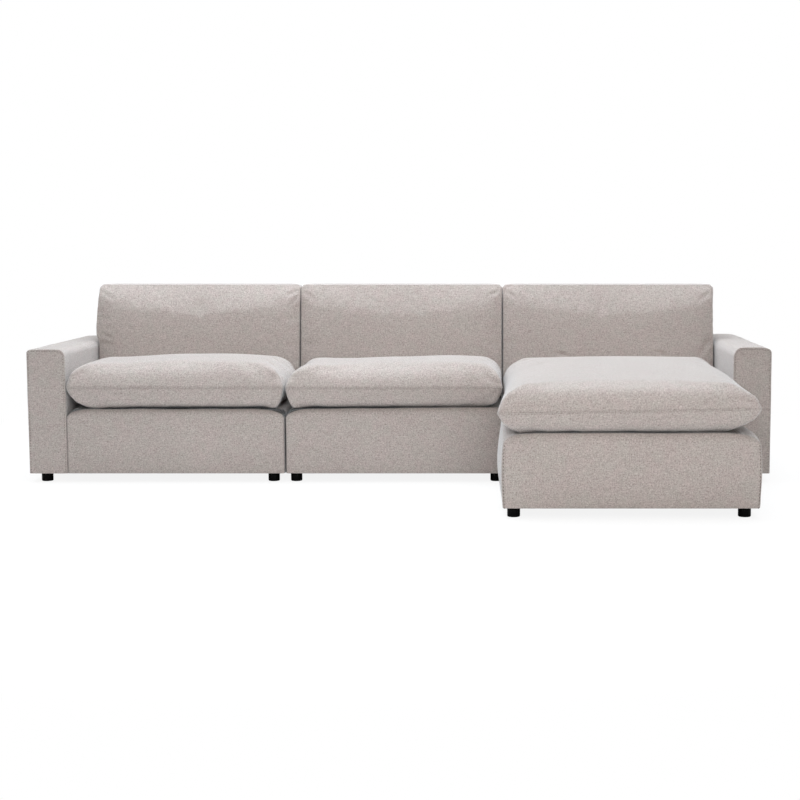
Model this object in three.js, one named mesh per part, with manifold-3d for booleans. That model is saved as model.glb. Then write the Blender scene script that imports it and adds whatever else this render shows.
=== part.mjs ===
// Sectional sofa with a chaise: three upholstered units hooked together and six loose cushions.
// Millimetres, +X to the sitter's left, +Y rearwards, +Z up, floor at z = 0.

import * as THREE from "three";
import { mergeVertices } from "three/addons/utils/BufferGeometryUtils.js";
import Module from "manifold-3d";

const wasm = await Module();
wasm.setup();

// Overall layout
const leftSeatWidth = 920;
const centreSeatWidth = 920;
const chaiseSeatWidth = 966;
const sofaDepth = 940;
const moduleGap = 4;
const touchGap = 0.3;
const cutOverrun = 10;

// Arms
const armWidth = 160;
const armHeight = 562;
const armInnerEdgeRadius = 28;
const armOuterEdgeRadius = 12;
const armCrown = 4;
const armFaceBevel = 7;

// Upholstery and boards
const padThickness = 14;
const boardThickness = 25;

// Seat bases
const footHeight = 37;
const baseTop = 306;
const baseEdgeRadius = 24;
const baseHemRadius = 3;
const baseCornerRadius = 20;
const flangeWidth = 70;
const cornerBlockLeg = 60;
const webbingThickness = 3;
const strapWidth = 50;
const strapPitch = 135;
const dustClothThickness = 2;

// Backs
const backTop = 740;
const backDepth = 216;
const backLean = 9;
const backEdgeRadius = 18;
const backSideBevel = 6;
const backRailHeight = 80;
const backSillRise = 24;
const backFootRailWidth = 72;

// Chaise base
const chaiseReach = 857;
const chaiseFrontWidth = 948;
const chaiseArmInset = 27;
const chaiseBellyBulge = 18;
const shoulderClearance = 10;

// Feet
const footRadius = 23;
const footEdgeRadius = 4;
const studRadius = 4;
const studLength = 20;
const studClearance = 0.4;
const footFrontInset = 48;
const footRearInset = 48;
const footArmInset = 61.5;
const leftInnerFootInset = 52.5;
const centreLeftFootInset = 39.5;
const centreRightFootInset = 28;
const chaiseLeftFootInset = 41.5;
const chaiseRightFootInset = 51;
const chaiseMidFootInset = 31;

// Seat cushions
const seatCushionSideGap = 7;
const chaiseCushionSideGap = 3;
const seatCushionDepth = 537;
const seatCushionOverhang = 22;
const chaiseCushionOverhang = 28;
const seatSeamRise = 96;
const seatCushionRise = 118;
const seatSideDrawIn = 7;
const chaiseCushionSway = 30;
const seatTopRounding = 95;
const seatBottomRounding = 60;
const seatCrownShare = 0.28;

// Back cushions
const backCushionSideGap = 3;
const backCushionTop = 816;
const backCushionThickness = 202;
const backCushionEdgeRadius = 16;
const backCushionCrown = 16;
const backCushionDrawIn = 9;

// Cushion insides
const fibreWrap = 14;
const seamAllowance = 34;
const zipOpening = 4;
const zipEndMargin = 140;
const backZipRise = 56;

// Sectional connectors
const bracketThickness = 3;
const bracketWidth = 60;
const bracketPlateLength = 52;
const bracketDrop = 17;
const hookSetback = 22;
const hookLipHeight = 13;
const hookPlay = 0.5;
const frontBracketInset = 190;
const rearBracketInset = 580;

// Mesh density
const cornerSteps = 3;
const roundingReachShare = 0.4;
const straightTurn = 0.003;
const roundSides = 10;
const studSides = 8;
const edgeStepShares = [0, 0.07, 0.3, 0.65, 1];
const cushionColumns = 5;
const cushionRows = 3;
const chaiseCushionRows = 7;
const coreColumns = 2;
const coreRows = 2;
const borderRows = 3;
const panelColumns = 12;
const panelRows = 7;

// Places worked out from the sizes
const leanSlope = Math.tan(THREE.MathUtils.degToRad(backLean));
const baseDepth = sofaDepth - backDepth - touchGap;
const frameInset = padThickness + touchGap;
const frameBottom = footHeight + dustClothThickness + touchGap;
const deckBottom = baseTop - padThickness;
const webbingBottom = deckBottom - touchGap - webbingThickness;
const frameTop = webbingBottom - touchGap;
const sofaWidth = leftSeatWidth + centreSeatWidth + chaiseSeatWidth + armWidth * 2;
const leftCentreX = -sofaWidth / 2 + armWidth + leftSeatWidth / 2;
const centreCentreX = leftCentreX + (leftSeatWidth + centreSeatWidth) / 2;
const chaiseCentreX = centreCentreX + (centreSeatWidth + chaiseSeatWidth) / 2;
const shoulderY = -(seatCushionOverhang + shoulderClearance);

// Materials
const oatmealWeave = { color: 0xb9b1a8, roughness: 0.95, metalness: 0 };
const deckCloth = { color: 0xa8a29a, roughness: 0.95, metalness: 0 };
const darkCloth = { color: 0x1d1d1f, roughness: 0.95, metalness: 0 };
const webbingBand = { color: 0x2b2622, roughness: 0.9, metalness: 0 };
const foam = { color: 0xe6dfc6, roughness: 0.95, metalness: 0 };
const pine = { color: 0xc79f6a, roughness: 0.7, metalness: 0 };
const blackPlastic = { color: 0x0b0b0b, roughness: 0.5, metalness: 0 };
const zincSteel = { color: 0x9a9ea3, roughness: 0.4, metalness: 1 };

// A named mesh with its own material
function piece(name, geometry, look) {
  const mesh = new THREE.Mesh(geometry, new THREE.MeshStandardMaterial(look));
  mesh.name = name;
  return mesh;
}

// Joining and cutting closed meshes
function toSolid(geometry) {
  const bare = geometry.clone();
  bare.deleteAttribute("normal");
  bare.deleteAttribute("uv");
  const merged = mergeVertices(bare);
  return new wasm.Manifold(new wasm.Mesh({
    numProp: 3,
    vertProperties: new Float32Array(merged.attributes.position.array),
    triVerts: new Uint32Array(merged.index.array),
  }));
}

function toGeometry(solid) {
  const mesh = solid.getMesh();
  const geometry = new THREE.BufferGeometry();
  geometry.setAttribute("position", new THREE.BufferAttribute(mesh.vertProperties, 3));
  geometry.setIndex(new THREE.BufferAttribute(mesh.triVerts, 1));
  geometry.computeVertexNormals();
  return geometry;
}

function join(geometries) {
  const solids = geometries.map(toSolid);
  return toGeometry(solids.reduce((whole, solid) => whole.add(solid)).asOriginal().simplify());
}

function cut(geometry, cutters) {
  const whole = toSolid(geometry);
  return toGeometry(cutters.map(toSolid).reduce((rest, solid) => rest.subtract(solid), whole));
}

// The corners of an anticlockwise outline after each side moves inwards
function insetCorners(outline, inset) {
  return outline.map((corner, i) => {
    const before = outline.at(i - 1);
    const after = outline[(i + 1) % outline.length];
    const arriving = new THREE.Vector2().subVectors(corner, before).normalize();
    const leaving = new THREE.Vector2().subVectors(after, corner).normalize();
    const arrivingIn = new THREE.Vector2(-arriving.y, arriving.x);
    const leavingIn = new THREE.Vector2(-leaving.y, leaving.x);
    const reach = inset / (1 + arrivingIn.dot(leavingIn));
    return corner.clone().addScaledVector(arrivingIn.add(leavingIn), reach);
  });
}

// An outline with every corner rounded, always with the same number of points.
// A point half way along a straight side stays one point.
function roundedRing(outline, inset, radius) {
  const corners = insetCorners(outline, inset);
  return corners.flatMap((corner, i) => {
    const before = corners.at(i - 1);
    const after = corners[(i + 1) % corners.length];
    const arriving = corner.clone().sub(before);
    const leaving = after.clone().sub(corner);
    const shortest = Math.min(arriving.length(), leaving.length());
    const turn = arriving.normalize().cross(leaving.normalize());
    if (Math.abs(turn) < straightTurn) return [corner];
    const reach = Math.min(radius, shortest * roundingReachShare);
    const start = corner.clone().add(before.clone().sub(corner).setLength(reach));
    const end = corner.clone().add(after.clone().sub(corner).setLength(reach));
    return new THREE.QuadraticBezierCurve(start, corner, end).getPoints(cornerSteps);
  });
}

function rectangle(left, right, front, rear) {
  return [
    new THREE.Vector2(left, front),
    new THREE.Vector2(right, front),
    new THREE.Vector2(right, rear),
    new THREE.Vector2(left, rear),
  ];
}

// A flat outline raised from one height to another
function raise(shape, bottom, top, edge = 0) {
  const geometry = new THREE.ExtrudeGeometry(shape, {
    depth: top - bottom - edge * 2,
    bevelEnabled: edge > 0,
    bevelThickness: edge,
    bevelSize: edge,
    bevelOffset: -edge,
    bevelSegments: 1,
  });
  return geometry.translate(0, 0, bottom + edge);
}

// An outline in y and z carried along x
function carryAlongX(shape, left, right, edge = 0) {
  const axes = new THREE.Matrix4().makeBasis(
    new THREE.Vector3(0, 1, 0), new THREE.Vector3(0, 0, 1), new THREE.Vector3(1, 0, 0),
  );
  return raise(shape, left, right, edge).applyMatrix4(axes);
}

// An outline in x and z carried along y
function carryAlongY(shape, front, rear, edge = 0) {
  const axes = new THREE.Matrix4().makeBasis(
    new THREE.Vector3(1, 0, 0), new THREE.Vector3(0, 0, 1), new THREE.Vector3(0, -1, 0),
  );
  return raise(shape, -rear, -front, edge).applyMatrix4(axes);
}

// Rings of equal count joined into one closed tube whose section is the list of rings
function loftRings(rings) {
  const count = rings[0].length;
  const index = [];
  rings.forEach((ring, r) => {
    const next = (r + 1) % rings.length;
    for (let i = 0; i < count; i += 1) {
      const j = (i + 1) % count;
      const low = r * count;
      const high = next * count;
      index.push(low + i, low + j, high + j, low + i, high + j, high + i);
    }
  });
  const geometry = new THREE.BufferGeometry().setFromPoints(rings.flat());
  geometry.setIndex(index);
  geometry.computeVertexNormals();
  return geometry;
}

// Base cover: fabric and padding wrapped over the rails, open below and inside its top flange.
// Its section runs up the outer wall, round the top edge, in over the rail and back down inside.
function baseCover(outline, belly) {
  const wallHeight = baseTop - baseEdgeRadius - footHeight - baseHemRadius;
  const wallShares = [0, 0.33, 0.67, 1];
  const roundShares = [0.3, 0.7];
  const section = [[baseHemRadius, footHeight, 0]];
  wallShares.forEach((share) => {
    section.push([0, footHeight + baseHemRadius + wallHeight * share, Math.sin(Math.PI * share)]);
  });
  roundShares.forEach((share) => {
    const turn = share * Math.PI / 2;
    section.push([
      baseEdgeRadius * (1 - Math.cos(turn)),
      baseTop - baseEdgeRadius * (1 - Math.sin(turn)),
      0,
    ]);
  });
  section.push([baseEdgeRadius, baseTop, 0]);
  section.push([flangeWidth, baseTop, 0]);
  section.push([flangeWidth, deckBottom, 0]);
  section.push([padThickness, deckBottom, 0]);
  section.push([padThickness, footHeight, 0]);
  return loftRings(section.map(([inset, height, fullness]) => {
    const ring = roundedRing(outline, inset, Math.max(baseCornerRadius - inset, baseHemRadius));
    return ring.map((point) => {
      const push = belly(point) * fullness;
      return new THREE.Vector3(point.x + push, point.y, height);
    });
  }));
}

// The outline of what fits inside the cover's wall
function insideRing(outline) {
  return roundedRing(outline, frameInset, Math.max(baseCornerRadius - frameInset, baseHemRadius));
}

// A bay between rails, with a corner block across each of its corners
function bayHole(left, right, front, rear) {
  const leg = cornerBlockLeg;
  return new THREE.Path([
    new THREE.Vector2(left + leg, front),
    new THREE.Vector2(left, front + leg),
    new THREE.Vector2(left, rear - leg),
    new THREE.Vector2(left + leg, rear),
    new THREE.Vector2(right - leg, rear),
    new THREE.Vector2(right, rear - leg),
    new THREE.Vector2(right, front + leg),
    new THREE.Vector2(right - leg, front),
  ]);
}

// The blind holes that take the screw studs of the feet
function studHoles(places, seat, depth) {
  return places.map(([x, y]) => {
    const hole = new THREE.CylinderGeometry(
      studRadius + studClearance, studRadius + studClearance, depth + cutOverrun, studSides,
    );
    return hole.rotateX(Math.PI / 2).translate(x, y, seat + (depth - cutOverrun) / 2);
  });
}

const studReach = footHeight - touchGap + studLength + studClearance;

function baseFrame(outline, bays, feet) {
  const shape = new THREE.Shape(insideRing(outline));
  shape.holes = bays.map(([left, right, front, rear]) => bayHole(left, right, front, rear));
  const rails = raise(shape, frameBottom, frameTop);
  return cut(rails, studHoles(feet, frameBottom, studReach - frameBottom));
}

// Elastic straps both ways over the rails, on one level
function webbing(spanAt, front, rear) {
  const straps = [];
  const rows = Math.max(2, Math.round((rear - front) / strapPitch) - 1);
  const rowPitch = (rear - front) / (rows + 1);
  for (let row = 1; row <= rows; row += 1) {
    const y = front + rowPitch * row;
    const edges = [spanAt(y - strapWidth / 2), spanAt(y + strapWidth / 2)];
    const left = Math.max(edges[0][0], edges[1][0]);
    const right = Math.min(edges[0][1], edges[1][1]);
    straps.push(rectangle(left, right, y - strapWidth / 2, y + strapWidth / 2));
  }
  const [left] = spanAt(rear);
  const [, right] = spanAt(front);
  const columns = Math.max(2, Math.round((right - left) / strapPitch) - 1);
  const columnPitch = (right - left) / (columns + 1);
  for (let column = 1; column <= columns; column += 1) {
    const x = left + columnPitch * column;
    straps.push(rectangle(x - strapWidth / 2, x + strapWidth / 2, front, rear));
  }
  return join(straps.map((strap) => {
    return raise(new THREE.Shape(strap), webbingBottom, webbingBottom + webbingThickness);
  }));
}

function deckPad(outline) {
  const inset = flangeWidth + touchGap;
  const ring = roundedRing(outline, inset, baseHemRadius);
  return raise(new THREE.Shape(ring), deckBottom, baseTop);
}

function dustCover(outline, feet) {
  const shape = new THREE.Shape(insideRing(outline));
  shape.holes = feet.map(([x, y]) => {
    const hole = new THREE.Path();
    hole.absarc(x, y, studRadius + studClearance, 0, Math.PI * 2, true);
    return new THREE.Path(hole.getPoints(studSides / 2).slice(1));
  });
  return raise(shape, footHeight, footHeight + dustClothThickness);
}

// Arm cover: a squared arm with a softer inner top edge and a slight crown, open below
function armCover(side) {
  const outer = -side * armWidth / 2;
  const inner = side * armWidth / 2;
  const shape = new THREE.Shape();
  const shoulder = armHeight - armCrown;
  shape.moveTo(outer, footHeight);
  shape.lineTo(outer, shoulder - armOuterEdgeRadius);
  shape.quadraticCurveTo(outer, shoulder, outer + side * armOuterEdgeRadius, shoulder);
  shape.quadraticCurveTo(0, armHeight + armCrown, inner - side * armInnerEdgeRadius, shoulder);
  shape.quadraticCurveTo(inner, shoulder, inner, shoulder - armInnerEdgeRadius);
  shape.lineTo(inner, footHeight);
  const profile = new THREE.Shape(shape.getPoints(cornerSteps));
  const skin = carryAlongY(profile, 0, sofaDepth, armFaceBevel);
  const hollow = carryAlongY(
    new THREE.Shape(rectangle(
      -armWidth / 2 + padThickness, armWidth / 2 - padThickness,
      footHeight - cutOverrun, shoulder - padThickness,
    )),
    padThickness, sofaDepth - padThickness,
  );
  return cut(skin, [hollow]);
}

// Arm frame: boards right round with a middle post, as wide as the arm inside its padding
function armFrame(feet) {
  const front = frameInset;
  const rear = sofaDepth - frameInset;
  const top = armHeight - armCrown - frameInset;
  const middle = (front + rear) / 2;
  const halfWidth = armWidth / 2 - frameInset;
  const block = carryAlongX(
    new THREE.Shape(rectangle(front, rear, footHeight, top)), -halfWidth, halfWidth,
  );
  const windows = [
    [front + boardThickness, middle - boardThickness / 2],
    [middle + boardThickness / 2, rear - boardThickness],
  ].map(([start, end]) => carryAlongX(
    new THREE.Shape(rectangle(start, end, footHeight + boardThickness, top - boardThickness)),
    -halfWidth - cutOverrun, halfWidth + cutOverrun,
  ));
  return cut(block, [...windows, ...studHoles(feet, footHeight, studReach - footHeight)]);
}

// The back's side outline: upright below the deck, leaning rearwards above it
function backOutline() {
  const front = sofaDepth - backDepth;
  return [
    new THREE.Vector2(front, footHeight),
    new THREE.Vector2(sofaDepth, footHeight),
    new THREE.Vector2(sofaDepth, backTop),
    new THREE.Vector2(front + (backTop - baseTop) * leanSlope, backTop),
    new THREE.Vector2(front, baseTop),
  ];
}

function loweredTo(corners, floor) {
  return corners.map((corner, i) => (i < 2 ? new THREE.Vector2(corner.x, floor) : corner));
}

function backCover(left, right) {
  const outline = backOutline();
  const skin = carryAlongX(
    new THREE.Shape(roundedRing(outline, 0, backEdgeRadius)), left, right, backSideBevel,
  );
  const hollow = carryAlongX(
    new THREE.Shape(loweredTo(insetCorners(outline, padThickness), footHeight - cutOverrun)),
    left + padThickness, right - padThickness,
  );
  return cut(skin, [hollow]);
}

// Back frame: three posts, a top rail, a sill rail behind the deck and a foot rail
function backFrame(left, right, feet) {
  const outline = loweredTo(insetCorners(backOutline(), frameInset), footHeight);
  const [bottomFront, bottomRear, topRear, topFront, knee] = outline;
  const post = new THREE.Shape(outline);
  const start = left + frameInset;
  const end = right - frameInset;
  const middle = (start + end) / 2;
  const parts = [
    carryAlongX(post, start, start + boardThickness),
    carryAlongX(post, middle - boardThickness / 2, middle + boardThickness / 2),
    carryAlongX(post, end - boardThickness, end),
  ];
  const leanAt = (height) => (height - knee.y) * (topFront.x - knee.x) / (topFront.y - knee.y);
  const topRailLow = topFront.y - backRailHeight;
  const topRail = [
    new THREE.Vector2(knee.x + leanAt(topRailLow), topRailLow),
    new THREE.Vector2(knee.x + leanAt(topRailLow) + boardThickness, topRailLow),
    new THREE.Vector2(topFront.x + boardThickness, topFront.y),
    topFront,
  ];
  const sillLow = baseTop + backSillRise;
  const sillHigh = sillLow + backRailHeight;
  const sillRail = [
    new THREE.Vector2(knee.x + leanAt(sillLow), sillLow),
    new THREE.Vector2(knee.x + leanAt(sillLow) + boardThickness, sillLow),
    new THREE.Vector2(knee.x + leanAt(sillHigh) + boardThickness, sillHigh),
    new THREE.Vector2(knee.x + leanAt(sillHigh), sillHigh),
  ];
  const footRail = rectangle(
    bottomRear.x - backFootRailWidth, bottomRear.x, footHeight, footHeight + boardThickness,
  );
  const rearRail = rectangle(
    topRear.x - boardThickness, topRear.x, topRear.y - backRailHeight, topRear.y,
  );
  const frontSill = rectangle(
    bottomFront.x, bottomFront.x + boardThickness, footHeight, footHeight + backRailHeight,
  );
  [topRail, sillRail, footRail, rearRail, frontSill].forEach((rail) => {
    parts.push(carryAlongX(new THREE.Shape(rail), start, end));
  });
  return cut(join(parts), studHoles(feet, footHeight, studReach - footHeight));
}

// Foot: a short black cylinder with an eased lower edge and a screw stud on top
function foot() {
  const top = footHeight - touchGap;
  return new THREE.LatheGeometry([
    new THREE.Vector2(0, 0),
    new THREE.Vector2(footRadius - footEdgeRadius, 0),
    new THREE.Vector2(footRadius, footEdgeRadius),
    new THREE.Vector2(footRadius, top),
    new THREE.Vector2(studRadius, top),
    new THREE.Vector2(studRadius, top + studLength),
    new THREE.Vector2(0, top + studLength),
  ], roundSides).rotateX(Math.PI / 2);
}

// Places across a cushion: close together where it rounds over at its edges, then evenly spread
function spread(length, rounding, steps) {
  const near = edgeStepShares.map((share) => share * rounding);
  const start = near.at(-1);
  const between = [];
  for (let i = 1; i < steps; i += 1) between.push(start + (length - start * 2) * i / steps);
  const far = near.map((distance) => length - distance).reverse();
  return [...near, ...between, ...far];
}

// How far a rounded edge has risen at a distance from the seam
function roundOver(distance, rounding) {
  const left = Math.max(0, 1 - distance / rounding);
  return Math.sqrt(1 - left * left);
}

// Knife-edged cushion: a crowned top and a flatter underside that meet in a seam half way up.
// Its plan is drawn in along the sides, so that the corners stand out as ears.
function knifeEdgeCushion(width, depth, rise, drop, columns, rows) {
  const acrossPlaces = spread(width, seatTopRounding, columns);
  const alongPlaces = spread(depth, seatTopRounding, rows);
  const lastColumn = acrossPlaces.length - 1;
  const lastRow = alongPlaces.length - 1;
  const points = [];
  const index = [];
  const low = new Map();
  const high = new Map();
  alongPlaces.forEach((along, row) => {
    acrossPlaces.forEach((across, column) => {
      const u = across / width * 2 - 1;
      const v = along / depth * 2 - 1;
      const sideDistance = Math.min(across, width - across);
      const endDistance = Math.min(along, depth - along);
      const crown = 1 - seatCrownShare + seatCrownShare * (1 - u * u) * (1 - v * v);
      const x = u * (width / 2 - seatSideDrawIn * (1 - Math.pow(v, 4)));
      const y = v * (depth / 2 - seatSideDrawIn * (1 - Math.pow(u, 4)));
      const key = row * (lastColumn + 1) + column;
      const top = roundOver(sideDistance, seatTopRounding) * roundOver(endDistance, seatTopRounding);
      const base = roundOver(sideDistance, seatBottomRounding)
        * roundOver(endDistance, seatBottomRounding);
      high.set(key, points.length);
      points.push(new THREE.Vector3(x, y, rise * top * crown));
      const onSeam = sideDistance === 0 || endDistance === 0;
      low.set(key, onSeam ? points.length - 1 : points.length);
      if (!onSeam) points.push(new THREE.Vector3(x, y, -drop * base));
    });
  });
  for (let row = 0; row < lastRow; row += 1) {
    for (let column = 0; column < lastColumn; column += 1) {
      const a = row * (lastColumn + 1) + column;
      const b = a + 1;
      const c = b + lastColumn + 1;
      const d = c - 1;
      // each cell is split towards its nearest corner, so that no facet lies in the seam
      const level = (row < lastRow / 2) === (column < lastColumn / 2);
      const [e, f, g, h] = level ? [a, b, c, d] : [b, c, d, a];
      [[e, f, g], [e, g, h]].forEach((facet) => {
        index.push(...facet.map((key) => high.get(key)));
        index.push(...facet.map((key) => low.get(key)).reverse());
      });
    }
  }
  const geometry = new THREE.BufferGeometry().setFromPoints(points);
  geometry.setIndex(index);
  geometry.computeVertexNormals();
  return geometry;
}

// Boxed cushion: two panels with a border between them, the front one crowned.
// The border is as wide as the cushion less the rounding at each of its two seams.
function boxedCushion(width, height, thickness, columns, rows) {
  const box = new THREE.BoxGeometry(width, thickness, height, columns, borderRows, rows);
  box.deleteAttribute("normal");
  box.deleteAttribute("uv");
  const geometry = mergeVertices(box);
  const place = geometry.attributes.position;
  const point = new THREE.Vector3();
  const panel = thickness / 2 - touchGap;
  for (let i = 0; i < place.count; i += 1) {
    point.fromBufferAttribute(place, i);
    const u = point.x / (width / 2);
    const v = point.z / (height / 2);
    const onPanel = Math.abs(point.y) > panel;
    const ease = onPanel ? backCushionEdgeRadius : 0;
    const drawIn = backCushionDrawIn * (1 - v * v);
    const border = thickness / 2 - backCushionEdgeRadius;
    const swell = onPanel && point.y < 0
      ? backCushionCrown * (1 - Math.pow(u, 4)) * (1 - Math.pow(v, 4)) : 0;
    place.setXYZ(
      i,
      u * (width / 2 - drawIn - ease),
      (onPanel ? point.y : Math.sign(point.y) * border) - swell,
      v * (height / 2 - ease),
    );
  }
  geometry.computeVertexNormals();
  return geometry;
}

// Leans a solid back by shearing it, so that its top and underside stay level
function lean(geometry) {
  const shear = new THREE.Matrix4().makeShear(0, 0, 0, 0, 0, leanSlope);
  return geometry.applyMatrix4(shear);
}

// Sways the front of the chaise cushion sideways, in front of its neighbour
function sway(geometry, start, end, amount) {
  const place = geometry.attributes.position;
  for (let i = 0; i < place.count; i += 1) {
    const share = THREE.MathUtils.smoothstep(-place.getY(i), -start, -end);
    place.setX(i, place.getX(i) - amount * share);
  }
  return geometry;
}

// The rear slot of a cushion cover, where its zip is
function zipSlot(width, y, z, reach) {
  return new THREE.BoxGeometry(width - zipEndMargin * 2, reach * 2, zipOpening).translate(0, y, z);
}

// A bent steel strip: a plate, its drop and its hook, all one thickness
function bentBracket(run) {
  const inner = [];
  const outer = [];
  run.forEach((point, i) => {
    const before = run[Math.max(i - 1, 0)];
    const after = run[Math.min(i + 1, run.length - 1)];
    const arriving = i > 0 ? point.clone().sub(before).normalize() : null;
    const leaving = i < run.length - 1 ? after.clone().sub(point).normalize() : null;
    const a = arriving ?? leaving;
    const b = leaving ?? arriving;
    const side = new THREE.Vector2(-a.y - b.y, a.x + b.x).divideScalar(1 + a.dot(b));
    outer.push(point.clone());
    inner.push(point.clone().addScaledVector(side, bracketThickness));
  });
  const outline = [...outer, ...inner.reverse()];
  if (THREE.ShapeUtils.isClockWise(outline)) outline.reverse();
  return carryAlongY(new THREE.Shape(outline), -bracketWidth / 2, bracketWidth / 2);
}

const bracketTop = footHeight - touchGap;

// Fixed catch: from under its own unit it drops, runs out under the neighbour and turns up.
// x is measured from its unit's side face, towards the neighbour.
function catchBracket(side) {
  const low = bracketTop - bracketDrop;
  const own = -bracketPlateLength;
  const lip = moduleGap + hookSetback + bracketThickness + hookPlay;
  const bend = -bracketThickness;
  const run = [
    new THREE.Vector2(lip, low + hookLipHeight),
    new THREE.Vector2(lip, low),
    new THREE.Vector2(bend, low),
    new THREE.Vector2(bend, bracketTop),
    new THREE.Vector2(own, bracketTop),
  ].map((point) => new THREE.Vector2(point.x * side, point.y));
  return bentBracket(side > 0 ? run : run.reverse());
}

// Hook: a plate under the neighbour with a lip turned down inside the catch
function hookBracket(side) {
  const lip = hookSetback;
  const run = [
    new THREE.Vector2(lip + bracketPlateLength, bracketTop),
    new THREE.Vector2(lip, bracketTop),
    new THREE.Vector2(lip, bracketTop - hookLipHeight),
  ].map((point) => new THREE.Vector2(point.x * side, point.y));
  return bentBracket(side > 0 ? run : run.reverse());
}

// One unit's base, back and feet, with x = 0 in the middle of its seat
function seatUnit(name, options) {
  const unit = new THREE.Group();
  const { leftFace, rightFace, outline, bays, belly, spanAt, front, baseFeet, backFeet } = options;
  unit.add(
    piece(`${name}_base_cover`, baseCover(outline, belly), oatmealWeave),
    piece(`${name}_base_frame`, baseFrame(outline, bays, baseFeet.map(([, x, y]) => [x, y])), pine),
    piece(`${name}_webbing`, webbing(spanAt, front + frameInset, baseDepth - frameInset), webbingBand),
    piece(`${name}_deck_pad`, deckPad(outline), deckCloth),
    piece(`${name}_dust_cover`, dustCover(outline, baseFeet.map(([, x, y]) => [x, y])), darkCloth),
    piece(`${name}_back_cover`, backCover(leftFace, rightFace), oatmealWeave),
    piece(`${name}_back_frame`, backFrame(leftFace, rightFace, backFeet.map(([, x, y]) => [x, y])), pine),
  );
  [...baseFeet, ...backFeet].forEach(([place, x, y]) => {
    const mesh = piece(`${name}_foot_${place}`, foot(), blackPlastic);
    mesh.position.set(x, y, 0);
    unit.add(mesh);
  });
  return unit;
}

// An arm unit with x = 0 in its middle; side is +1 when the seat is on its +X side
function armUnit(name, side) {
  const arm = new THREE.Group();
  const footX = -side * (armWidth / 2 - footArmInset);
  const rearY = sofaDepth - footRearInset;
  const feet = [[footX, footFrontInset], [footX, rearY]];
  arm.add(
    piece(`${name}_arm_cover`, armCover(side), oatmealWeave),
    piece(`${name}_arm_frame`, armFrame(feet), pine),
  );
  feet.forEach(([x, y], i) => {
    const mesh = piece(`${name}_foot_${["front", "rear"][i]}_outer`, foot(), blackPlastic);
    mesh.position.set(x, y, 0);
    arm.add(mesh);
  });
  return arm;
}

function plainUnit(name, leftFace, rightFace, leftInset, rightInset, places) {
  const rail = frameInset + boardThickness;
  const middle = baseDepth / 2;
  const rearY = sofaDepth - footRearInset;
  const baseFeet = [];
  const backFeet = [];
  if (leftInset) {
    baseFeet.push([places[0], leftFace + leftInset, footFrontInset]);
    backFeet.push([places[1], leftFace + leftInset, rearY]);
  }
  if (rightInset) {
    baseFeet.push([places.at(-2), rightFace - rightInset, footFrontInset]);
    backFeet.push([places.at(-1), rightFace - rightInset, rearY]);
  }
  return seatUnit(name, {
    leftFace,
    rightFace,
    outline: rectangle(leftFace, rightFace, 0, baseDepth),
    bays: [
      [leftFace + rail, rightFace - rail, rail, middle - boardThickness / 2],
      [leftFace + rail, rightFace - rail, middle + boardThickness / 2, baseDepth - rail],
    ],
    belly: () => 0,
    spanAt: () => [leftFace + frameInset, rightFace - frameInset],
    front: 0,
    baseFeet,
    backFeet,
  });
}

// Left unit: one seat and the left arm
const leftUnit = plainUnit(
  "left", -leftSeatWidth / 2 + touchGap, (leftSeatWidth - moduleGap) / 2,
  0, leftInnerFootInset, ["front_inner", "rear_inner"],
);
const leftArm = armUnit("left", 1);
leftArm.position.x = -(leftSeatWidth + armWidth) / 2;
leftUnit.add(leftArm);
leftUnit.position.x = leftCentreX;

// Centre unit: one seat without arms
const centreUnit = plainUnit(
  "centre", -(centreSeatWidth - moduleGap) / 2, (centreSeatWidth - moduleGap) / 2,
  centreLeftFootInset, centreRightFootInset,
  ["front_left", "rear_left", "front_right", "rear_right"],
);
centreUnit.position.x = centreCentreX;

// Chaise unit: one deep base that reaches out in front, the right arm and the back.
// The part in front of the arm stands a little in from it and a little out past the seat's side.
const chaiseLeft = -(chaiseSeatWidth - moduleGap) / 2;
const chaiseRight = chaiseSeatWidth / 2 - touchGap;
const reachRight = chaiseSeatWidth / 2 - chaiseArmInset;
const reachLeft = reachRight - chaiseFrontWidth;
const reachSpan = chaiseReach + shoulderY;
const bellyShares = [0.25, 0.5, 0.75];
const chaiseOutline = [
  new THREE.Vector2(reachLeft, -chaiseReach),
  new THREE.Vector2(reachRight, -chaiseReach),
  ...bellyShares.map((share) => new THREE.Vector2(reachRight, -chaiseReach + chaiseReach * share)),
  new THREE.Vector2(reachRight, 0),
  new THREE.Vector2(chaiseRight, 0),
  new THREE.Vector2(chaiseRight, baseDepth),
  new THREE.Vector2(chaiseLeft, baseDepth),
  new THREE.Vector2(chaiseLeft, shoulderY),
  new THREE.Vector2(reachLeft, shoulderY),
  ...bellyShares.map((share) => new THREE.Vector2(reachLeft, shoulderY - reachSpan * share)),
];

// The sides of the reach swell outwards between its seams
function chaiseBelly(point) {
  const share = (point.y + chaiseReach) / reachSpan;
  if (share <= 0 || share >= 1) return 0;
  const middle = (reachLeft + reachRight) / 2;
  const edge = Math.abs(point.x - middle) > chaiseFrontWidth / 2 - padThickness ? 1 : 0;
  return Math.sign(point.x - middle) * edge * chaiseBellyBulge * Math.sin(Math.PI * share);
}

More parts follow.
